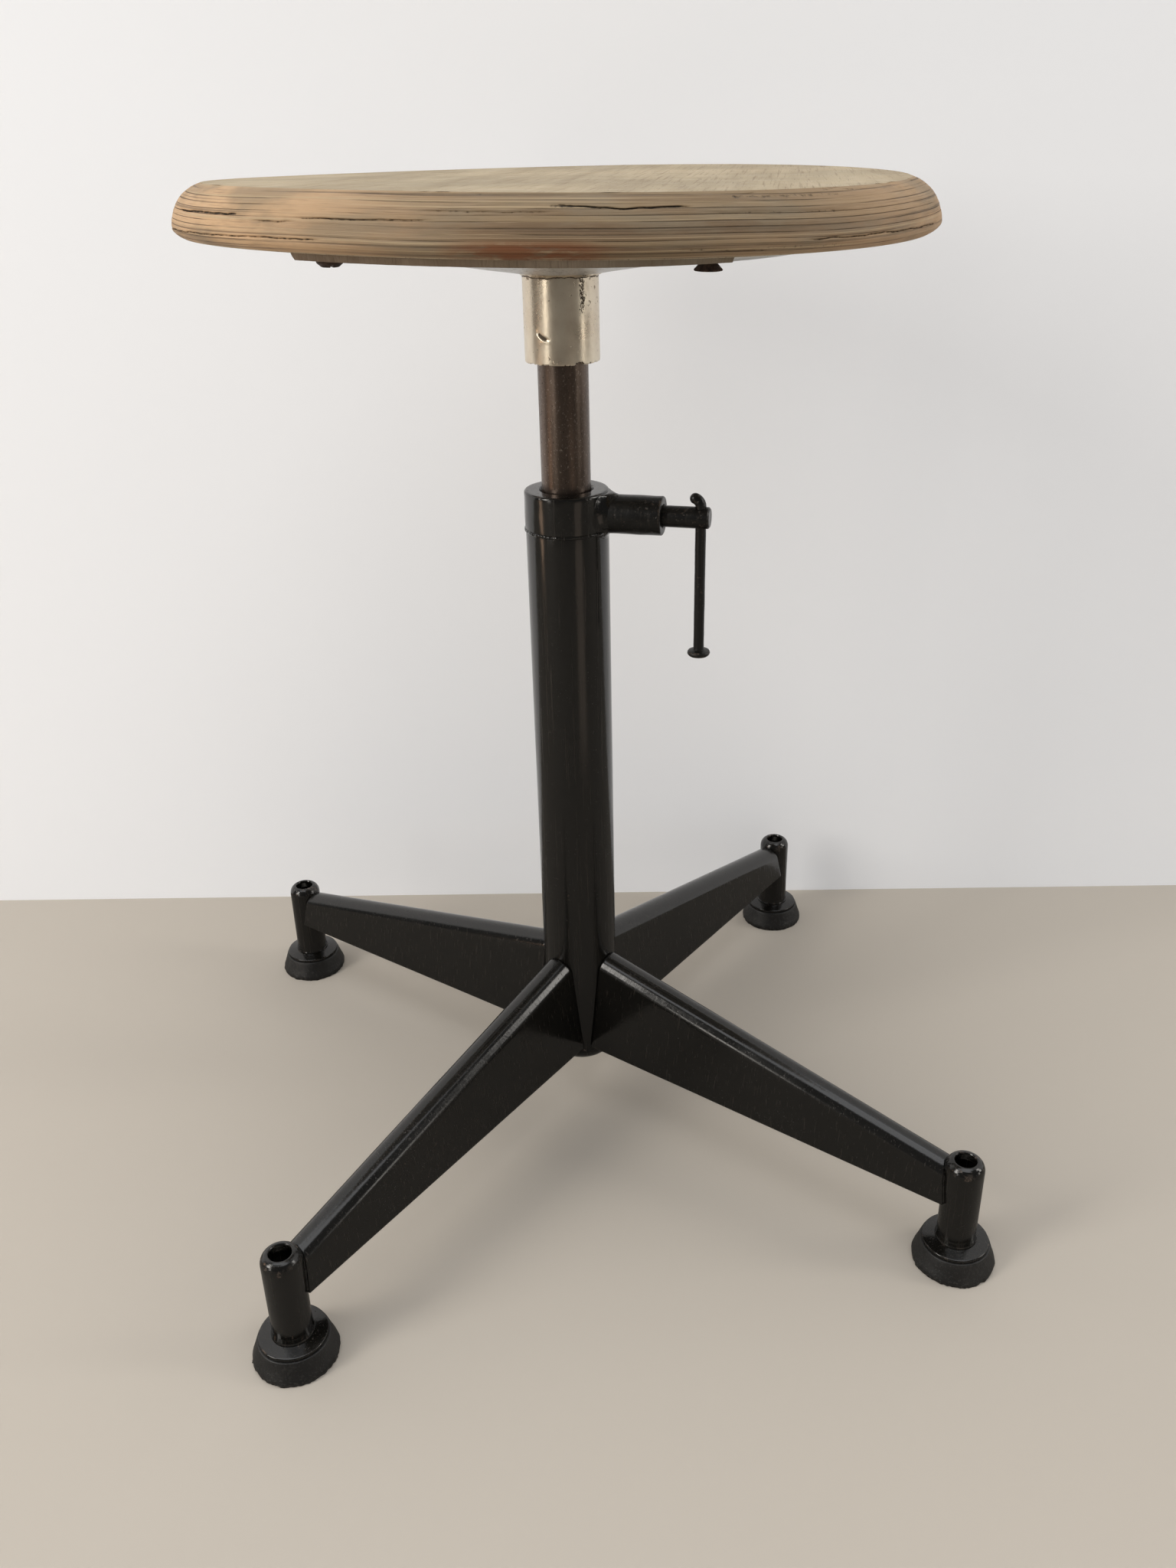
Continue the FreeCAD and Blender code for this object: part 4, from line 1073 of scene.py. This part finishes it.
def makeSeatSocket():
    # The tube is a closed profile turned about the axis; its outside moves in and out by a dent.
    tube = {"radius": 19.0, "wall": 3.0, "ragged": 0.35, "gnawed": math.radians(-72),
            "dentAngle": math.radians(-129), "dentHeight": 479.5, "dentLong": 3.4, "dentWide": 0.9,
            "dentDeep": 0.45, "lipTall": 0.2, "ripple": 0.03}
    base, top = levelsOf("seat_tube")
    outline = softOutline([(tube["radius"] - tube["wall"], base, 0.4), (tube["radius"], base, 0.6),
                           (tube["radius"], top, 0.2), (tube["radius"] - tube["wall"], top, 0)], 0.45)
    columns = 400
    angle = fullCircle(columns)[None]
    height = outline[0][:, 1][:, None]
    outer = (outline[0][:, 0] > tube["radius"] - 0.7)[:, None]
    # The sawn end: notches lift the lip where noise is high, fading over a millimetre.
    notch = np.clip(roundNoise(angle, 8, 0.0, 71, 4) - 0.1, 0, 1)
    nearEnd = 1 - smoothStep(0.2, 1.8, height - base)
    lift = tube["ragged"] * 1.6 * notch * nearEnd
    # The dent: a short slanting crescent, bruised dark, with a raised lip above it.
    offAngle = (angle - (tube["dentAngle"] % fullTurn)) * tube["radius"]
    offHeight = height - tube["dentHeight"]
    along = offAngle * 0.86 - offHeight * 0.50
    across = offAngle * 0.50 + offHeight * 0.86 - 0.05 * along ** 2
    groove = np.exp(-(along / tube["dentLong"]) ** 4 - (across / tube["dentWide"]) ** 4)
    lip = np.exp(-(along / 3.0) ** 2 - ((across + 1.3) / 0.5) ** 2)
    ripple = tube["ripple"] * (roundNoise(angle, 3, height / 9, 14, 2) - 1)
    grow = outer * (tube["lipTall"] * lip - tube["dentDeep"] * groove + ripple)
    # The wear mark darkens the dent, and the end where it is gnawed to the right of the dent.
    gnawed = np.exp(-((angle - (tube["gnawed"] % fullTurn)) / 0.45) ** 2) * nearEnd
    grid = ringGrid(outline, columns, True, grow=grow, lift=lift + 0.9 * gnawed * notch)
    grid["wear"] = grid["wear"] * (1 + 0.9 * gnawed * (notch > 0.12)) + 2 * groove * outer
    addSurface("socket_tube", [grid], tubeSteel, "seat", "seat_tube")

    # The weld round the tube: a rough fillet, its section a triangle bulged by noise.
    weldBase = levelsOf("socket_weld")[1]
    weld = {"leg": 3.6, "drop": 2.0}
    around = fullCircle(420)[None]
    share = np.linspace(0, 1, 14)[:, None]
    rough = roundNoise(around, 9, share * 2.5, 29, 3)
    slow = roundNoise(around, 2.4, 0.0, 53, 2)
    leg, drop = weld["leg"] + 0.9 * slow + 0.25 * rough, weld["drop"] + 0.5 * slow + 0.3 * rough
    bulge = 0.42 + 0.10 * np.sin(share * math.pi)
    radius = tube["radius"] - 0.2 + leg * share ** 1.2 + 0.12 * rough
    level = weldBase + 0.3 - (drop + 0.3) * (1 - share) ** (1 / (0.7 + bulge))
    inner = polar(tube["radius"] - 0.6, around, weldBase + 0.6)
    points = warped(np.concatenate([polar(radius, around, level), inner], 0))
    addSurface("socket_bead", [{"points": points, "wrapRows": True}], tubeSteel, "seat", "socket_weld")

    # The plate is a shallow cone with a level flange, turned about the axis. The cone sways a little.
    plate = {"radius": 127.0, "flange": 24.0, "hub": 24.0, "thickness": 4.0, "edge": 1.2}
    hubLow, top = levelsOf("seat_plate")
    hubTop, flangeLow = hubLow + plate["thickness"], top - plate["thickness"]
    inner = plate["radius"] - plate["flange"]
    outline = softOutline([
        (tube["radius"], hubLow, 0), (plate["hub"], hubLow, 5), (inner, flangeLow, 6),
        (plate["radius"], flangeLow, plate["edge"]), (plate["radius"], top, plate["edge"] * 0.5), (inner, top, 4),
        (plate["hub"], hubTop, 3), (tube["radius"], hubTop, 0)], 3.0, arcSteps=6)
    columns = 240
    angle = fullCircle(columns)[None]
    radius = outline[0][:, 0][:, None]
    sway = 0.25 * layeredNoise(radius * np.cos(angle) / 40, radius * np.sin(angle) / 40, radius * 0, 47, 2)
    lift = sway * smoothStep(24, 40, radius) * (1 - smoothStep(92, 104, radius))
    grid = ringGrid(outline, columns, True, lift=lift)
    addSurface("dished_plate", [dict(grid, points=warped(grid["points"]))], plateSteel, "seat", "seat_plate")
    print("seat socket ready")


# Screws

def screwGrid(place, base, outline, slot, turn):
    # A turned screw whose head is cut by a slot: points inside the slot's width sink by
    # its depth, with the width's edges drawn in steeply.
    profile, sharp = softOutline(outline, 0.35, closed=False, arcSteps=4)
    columns = 96
    grid = turned(profile, columns, centre=(place[0], place[1], base))
    x, y = grid[..., 0] - place[0], grid[..., 1] - place[1]
    across = np.abs(-x * math.sin(turn) + y * math.cos(turn))
    below = grid[..., 2] - base
    inSlot = (1 - smoothStep(slot["half"] - 0.12, slot["half"] + 0.12, across)) * (below < slot["depth"])
    grid[..., 2] += inSlot * (slot["depth"] - below)
    return {"points": warped(grid), "poles": (True, True), "wear": np.maximum(sharp, 0)[:, None]}


def makeScrews():
    # Each screw's circle and azimuth; the second is the one that has backed out.
    screw = {"places": ((123.0, 207.3), (117.9, 294.05), (120.0, 25.7), (120.0, 115.7)), "loose": 1, "hang": 1.0}
    grids = []
    for number, (circle, azimuth) in enumerate(screw["places"]):
        angle = math.radians(azimuth)
        place = (circle * math.cos(angle), circle * math.sin(angle))
        if number == screw["loose"]:
            base = levelsOf("loose_screw")[0]
            outline = [(0.01, 0, 0), (5.9, 0.15, 0.25), (6.2, 0.6, 0.2), (3.0, 4.0, 0.5), (2.9, 6.0, 0),
                       (2.9, 14.0, 0), (0.01, 18.0, 0)]
            loose = screwGrid(place, base, outline, {"half": 0.6, "depth": 1.1}, angle + 0.5)
            addSurface("backed_out_screw", [loose], rustySteel, "seat", "loose_screw")
        else:
            base = levelsOf("seat_screws")[0] - screw["hang"]
            outline = [(0.01, 0, 0), (3.8, 0.1, 1.6), (6.0, 1.9, 1.2), (6.2, 4.2, 0.2), (2.9, 4.2, 0),
                       (2.9, 16.0, 0), (0.01, 21.0, 0)]
            grids.append(screwGrid(place, base, outline, {"half": 0.6, "depth": 1.2}, angle * 3.1))
    addSurface("pan_screws", grids, rustySteel, "seat", "seat_screws")
    print("screws ready")


# Seat

def makeSeatBoard():
    # The board is a profile turned about the axis, with flat faces and a rounded edge.
    # The cracks seen in the photograph: a line of azimuths and levels, its half width and strength.
    seat = {"radius": 180.0, "ply": 2.1, "groove": 0.22, "crack": 1.1, "nibble": 0.9, "cracks": (
        (((-164, 12.4), (-143, 12.9)), 0.38, 0.95), (((-175, 4.0), (-153, 4.6), (-139, 5.4), (-128, 5.3)), 0.3, 0.8),
        (((-132, 12.5), (-113, 12.9)), 0.3, 0.7), (((-140, 11.0), (-132, 11.2)), 0.3, 0.65),
        (((-109.5, 21.6), (-106.5, 21.6)), 0.4, 0.7), (((-99.5, 18.2), (-95, 17.7)), 0.7, 0.75),
        (((-98.7, 18.1), (-95.9, 17.8), (-92.8, 17.2), (-86.7, 17.3), (-81.5, 17.5)), 0.32, 1.0),
        (((-115, 15.8), (-98, 16.1)), 0.35, 0.5), (((-61, 21.4), (-50, 21.2)), 0.35, 0.5),
        (((-66, 5.2), (-50, 5.4), (-32, 5.4)), 0.3, 0.8), (((-84.5, 3.6), (-71, 2.0)), 0.4, 0.55),
        (((-78, 20.2), (-56, 19.9)), 0.8, 0.5), (((-80, 15.2), (-57, 14.5)), 0.7, 0.45),
        (((-74, 3.4), (-57, 2.4)), 1.1, 0.4), (((20, 8.0), (48, 8.6)), 0.3, 0.85),
        (((95, 15.0), (131, 14.2)), 0.3, 0.8))}
    base, top = levelsOf("seat_board")
    # The edge's outline, from the lip below to the rim above, as inset and height.
    inset = np.array([4.5, 2.6, 1.3, 0.4, 0.0, 0.5, 1.7, 3.4, 5.6, 8.2, 11.2, 14.2, 15.4])
    level = np.array([0.0, 0.9, 1.9, 2.9, 3.8, 7.4, 10.9, 14.2, 16.9, 19.0, 20.8, 21.9, 22.3])
    level = level * (top - base) / level[-1]
    run = np.concatenate([[0], np.cumsum(np.hypot(np.diff(inset), np.diff(level)))])
    dense = np.linspace(0, run[-1], 104)
    radius = seat["radius"] - np.interp(dense, run, inset)
    height = base + np.interp(dense, run, level)
    smooth = np.ones(5) / 5
    radius[2:-2] = np.convolve(radius, smooth, "valid")
    height[2:-2] = np.convolve(height, smooth, "valid")
    under = np.linspace(2, radius[0], 9)[:-1]
    over = np.linspace(radius[-1], 2, 12)[1:]
    profileR = np.concatenate([under, radius, over])
    profileZ = np.concatenate([np.full(8, base), height, np.full(11, top)])
    columns = 760
    angle = fullCircle(columns)[None]
    r, z = profileR[:, None], profileZ[:, None]
    x, y = r * np.cos(angle), r * np.sin(angle)
    edgeShare = smoothStep(0.0, 0.6, z - base) * smoothStep(0.0, 0.35, top - z + 0.05) * (r > 160)
    # Each ply has worn back by its own amount, its glue lines are grooved, and open cracks
    # follow the plies: a bell curve across each crack's line, closing at both ends.
    wander = 0.5 * layeredNoise(x / 90, y / 90, z * 0, 5, 2)
    plies = (z - base + wander) / seat["ply"]
    ply = np.floor(plies)
    step = latticeNoise(x / 60, y / 60, ply * 7.31, 9)
    within = np.abs(plies - ply - 0.5) * 2
    groove = smoothStep(0.72, 1.0, within) * (0.55 + 0.45 * layeredNoise(x / 22, y / 22, ply * 3.1, 13, 2))
    azimuth = (np.degrees(angle) + 180) % 360 - 180
    ragged = 0.25 * layeredNoise(x / 7, y / 7, z * 0, 29, 3)
    cracks = np.zeros_like(x)
    for line, half, strength in seat["cracks"]:
        line = np.array(line, float)
        first, last = line[0, 0], line[-1, 0]
        ends = smoothStep(first - 1, first + 2, azimuth) * smoothStep(last + 1, last - 2, azimuth)
        off = z - base - np.interp(azimuth, line[:, 0], line[:, 1]) + ragged
        cracks = np.maximum(cracks, strength * ends * np.exp(-(off / half) ** 2))
    nibble = smoothStep(0.45, 0.9, layeredNoise(x / 9, y / 9, z / 5, 33, 3)) * smoothStep(2.5, 0.0, top - z)
    grow = -edgeShare * (seat["groove"] * (groove + 0.5 * step + 0.5) + seat["crack"] * cracks)
    grow = grow - seat["nibble"] * nibble * edgeShare
    face = z > top - 0.01
    lift = (0.10 * layeredNoise(x / 30, y / 30, z * 0, 41, 2) - 0.12) * face
    points = np.stack([x * (1 + grow / r), y * (1 + grow / r), z + lift], 2)
    board = addSurface("plywood_seat", [{"points": warped(points), "poles": (True, True)}],
                       seatWood, "seat", "seat_board")
    addMark(board, "edgeShare", np.broadcast_to(edgeShare, points.shape[:2]), (0.0, 0.0))
    addMark(board, "crack", cracks * edgeShare, (0.0, 0.0))
    addMark(board, "rise", (points[..., 2] + wander) * mm, (base * mm, top * mm))
    print("seat board ready")


def makeBottomPlyPiece():
    # The broken ply: a disc whose outline is the nearer of the round edge and two straight
    # breaks, but never inside the plate. The breaks splinter along the grain.
    ply = {"radius": 172.0, "left": 103.5, "right": 65.4, "turn": math.radians(-7.8), "heart": 123.0, "bevel": 2.4,
           "worn": 1.3, "splinter": 2.2}
    base, top = levelsOf("bottom_ply")
    columns = 1100
    angle = fullCircle(columns)
    across = np.cos(angle - ply["turn"])
    left = ply["left"] / np.maximum(-across, 1e-3)
    right = ply["right"] / np.maximum(across, 1e-3)
    cut = np.minimum(np.where(across < 0, left, right), 400)
    whole = np.minimum(cut, ply["radius"])
    broken = smoothStep(0.5, 3.0, ply["radius"] - whole)
    outline = np.maximum(whole, ply["heart"])
    x, y = outline * np.cos(angle), outline * np.sin(angle)
    grain = -x * math.sin(ply["turn"]) + y * math.cos(ply["turn"])
    splinter = layeredNoise(x / 1.6, grain / 26, x * 0, 19, 3) + 0.6 * layeredNoise(x / 5, y / 5, x * 0, 21, 3)
    chipped = 0.5 * np.abs(layeredNoise(x / 4, y / 4, x * 0, 25, 2))
    outline = outline - broken * np.abs(splinter) * ply["splinter"] - chipped
    shares = np.concatenate([np.linspace(0.02, 0.68, 7), [0.76, 0.84, 0.92, 0.985, 1.0]])[:, None]
    # The underside has worn thinner outside the plate towards the right.
    worn = ply["worn"] * smoothStep(130, 152, shares * outline) * smoothStep(-20, 90, shares * x)
    fray = 0.35 * layeredNoise(x / 3, y / 3, x * 0 + 2, 35, 3)
    rings = [polar(shares * outline, angle, base + worn)]
    for part in (0.12, 0.5, 0.88):
        reach = outline + ply["bevel"] * part * (1 - broken) * 0.8 + fray * math.sin(part * math.pi)
        level = base + worn[-1] + part * (top - base - worn[-1])
        rings.append(polar(reach, angle, level)[None])
    reach = outline + ply["bevel"] * 0.8 * (1 - broken)
    points = np.concatenate(rings + [polar(shares[::-1] * reach, angle, top)], 0)
    piece = addSurface("broken_ply", [{"points": warped(points), "poles": (True, True)}],
                       bottomPlyWood, "seat", "bottom_ply")
    addMark(piece, "rise", points[..., 2] * mm, (base * mm, top * mm))
    print("bottom ply ready")


makeFeet()
makeLegs()
makeColumn()
makeClamp()
makePost()
makeSeatSocket()
makeScrews()
makeSeatBoard()
makeBottomPlyPiece()

# Pieces whose CAD shape is right keep it, in better finishes
keptFinishes = {
    "clamp_screw": mattBlack, "pressure_pad": brass, "guide_sleeve": plainSteel, "guide_pin": plainSteel,
    "pivot_washer": platedSteel, "pivot_bolt": platedSteel, "thrust_disc": brass,
    "swivel_bush_lower": brass, "swivel_bush_upper": brass,
}
keptFinishes.update({"foot_pin_" + corner: platedSteel for corner in corners})
for node, material in keptFinishes.items():
    for slot in frame["nodes"][node].material_slots:
        slot.material = material
print("kept nodes finished")


# Stage, light and camera

def makeStageMaterial(name, color, wall):
    settings = {"patchy": 0.97, "floorShade": 0.42, "wallGlow": 0.22}
    material = bpy.data.materials.new(name)
    material.use_nodes = True
    tree = material.node_tree
    surface = tree.nodes["Principled BSDF"]
    ray = shaderNode(tree, "LightPath").outputs
    grain = noiseNode(tree, shaderNode(tree, "TexCoord").outputs["Object"], 3.0, 2.0, 0.5)
    tone = mixColor(tree, grain, color, tuple(c * settings["patchy"] for c in color[:3]) + (1,))
    surface.inputs["Roughness"].default_value = 0.8
    surface.inputs["Specular IOR Level"].default_value = 0.2
    if not wall:
        # Polished surfaces reflect a floor that lies in the room's shade.
        shade = tuple(c * settings["floorShade"] for c in color[:3]) + (1,)
        shaded = mixColor(tree, ray["Is Glossy Ray"], tone, shade)
        tree.links.new(shaded, surface.inputs["Base Color"])
    else:
        # The camera and polished surfaces see a pale backdrop, which is one-sided: from behind it is clear.
        tree.links.new(tone, surface.inputs["Base Color"])
        surface.inputs["Emission Color"].default_value = color
        seen = mathNode(tree, "MAXIMUM", ray["Is Camera Ray"], ray["Is Glossy Ray"])
        tree.links.new(times(tree, seen, settings["wallGlow"]), surface.inputs["Emission Strength"])
        clear = shaderNode(tree, "BsdfTransparent")
        mix = shaderNode(tree, "MixShader", {0: shaderNode(tree, "NewGeometry").outputs["Backfacing"],
                                             1: surface.outputs[0], 2: clear.outputs[0]})
        tree.links.new(mix.outputs[0], tree.nodes["Material Output"].inputs["Surface"])
    return material


def makeStage():
    # A floor, and an upright wall close behind the stool: both are flat sheets.
    stage = {"wallFrom": 247.6, "wallTurn": math.radians(80.3), "reach": 6000.0, "height": 4000.0}
    far = stage["reach"]
    floorCorners = np.array([(-far, -far, 0), (far, -far, 0), (far, far, 0), (-far, far, 0)])
    away = np.array([math.cos(stage["wallTurn"]), math.sin(stage["wallTurn"]), 0.0])
    along = np.cross(away, (0, 0, 1))
    left, right = away * stage["wallFrom"] - along * far, away * stage["wallFrom"] + along * far
    upward = np.array([0, 0, stage["height"]])
    wallCorners = np.array([left, right, right + upward, left + upward])
    sheets = {"studio_floor": (floorCorners, makeStageMaterial("studioFloor", (0.52, 0.475, 0.415, 1), False)),
              "studio_wall": (wallCorners, makeStageMaterial("studioWall", (0.74, 0.745, 0.76, 1), True))}
    for name, (sheetCorners, material) in sheets.items():
        mesh = bpy.data.meshes.new(name)
        mesh.from_pydata((sheetCorners * mm).tolist(), [], [(0, 1, 2, 3)])
        mesh.materials.append(material)
        sheet = bpy.data.objects.new(name, mesh)
        bpy.context.scene.collection.objects.link(sheet)


def makeLights():
    # Each lamp's place, size, power and colour. All are aimed at the middle of the stool.
    lamps = {
        "windowLeft": ((-1.9, -0.75, 1.25), (0.6, 1.3), 23.0, (1.0, 0.96, 0.90)),
        "windowRight": ((1.9, -0.55, 1.1), (0.35, 1.3), 9.0, (1.0, 0.96, 0.90)),
        "warmCard": ((0.215, -0.56, 0.15), (0.20, 0.30), 0.085, (1.0, 0.78, 0.62)),
        "copperCard": ((-0.80, -0.11, 0.21), (0.10, 0.16), 0.16, (1.0, 0.66, 0.44)),
        "leftCard": ((-1.55, -1.08, 0.32), (0.22, 0.40), 1.3, (1.0, 0.95, 0.87)),
        "rightCard": ((1.63, -0.98, 0.32), (0.18, 0.40), 0.9, (1.0, 0.95, 0.87)),
        "ceiling": ((-0.1, -0.3, 2.6), (2.6, 2.0), 31.0, (0.97, 0.98, 1.0)),
    }
    target = Vector((0, 0, 0.28))
    for name, (place, size, power, color) in lamps.items():
        data = bpy.data.lights.new(name, "AREA")
        data.shape = "RECTANGLE"
        data.size, data.size_y = size
        data.energy, data.color = power, color
        lamp = bpy.data.objects.new(name, data)
        bpy.context.scene.collection.objects.link(lamp)
        lamp.location = place
        lamp.rotation_euler = (target - Vector(place)).to_track_quat("-Z", "Y").to_euler()
    world = bpy.data.worlds.new("studio")
    bpy.context.scene.world = world
    world.use_nodes = True
    tree = world.node_tree
    back = tree.nodes["Background"]
    back.inputs["Color"].default_value = (0.78, 0.79, 0.80, 1)
    # The camera sees a pale backdrop, polished surfaces a dim room, the rest a soft fill.
    ray = shaderNode(tree, "LightPath")
    strength = rampNode(tree, ray.outputs["Is Glossy Ray"], 0.0, 1.0, 0.55, 0.13)
    strength = mathNode(tree, "MAXIMUM", strength, ray.outputs["Is Camera Ray"])
    tree.links.new(strength, back.inputs["Strength"])


def makeCamera():
    # The view of the photograph: where the camera stood, and how it was turned.
    view = {"place": (-0.0937, -0.6808, 0.5715), "heading": math.radians(81.53), "pitch": 0.46586, "roll": -0.02425,
            "focalPixels": 1708.2, "imageHeight": 2048.0, "sensor": 24.0}
    data = bpy.data.cameras.new("photoCamera")
    data.sensor_fit = "VERTICAL"
    data.sensor_height = view["sensor"]
    data.lens = view["focalPixels"] / view["imageHeight"] * view["sensor"]
    data.clip_start = 0.01
    heading, pitch, roll = view["heading"], view["pitch"], view["roll"]
    forward = np.array([math.cos(pitch) * math.cos(heading), math.cos(pitch) * math.sin(heading), -math.sin(pitch)])
    right = np.array([math.sin(heading), -math.cos(heading), 0.0])
    above = np.cross(right, forward)
    tiltRight = math.cos(roll) * right + math.sin(roll) * above
    tiltUp = -math.sin(roll) * right + math.cos(roll) * above
    matrix = Matrix.Identity(4)
    for column, axis in enumerate((tiltRight, tiltUp, -forward, view["place"])):
        for row in range(3):
            matrix[row][column] = axis[row]
    camera = bpy.data.objects.new("photoCamera", data)
    bpy.context.scene.collection.objects.link(camera)
    camera.matrix_world = matrix
    bpy.context.scene.camera = camera


makeStage()
makeLights()
makeCamera()
bpy.context.scene.view_settings.view_transform = "Standard"
print("stage ready")
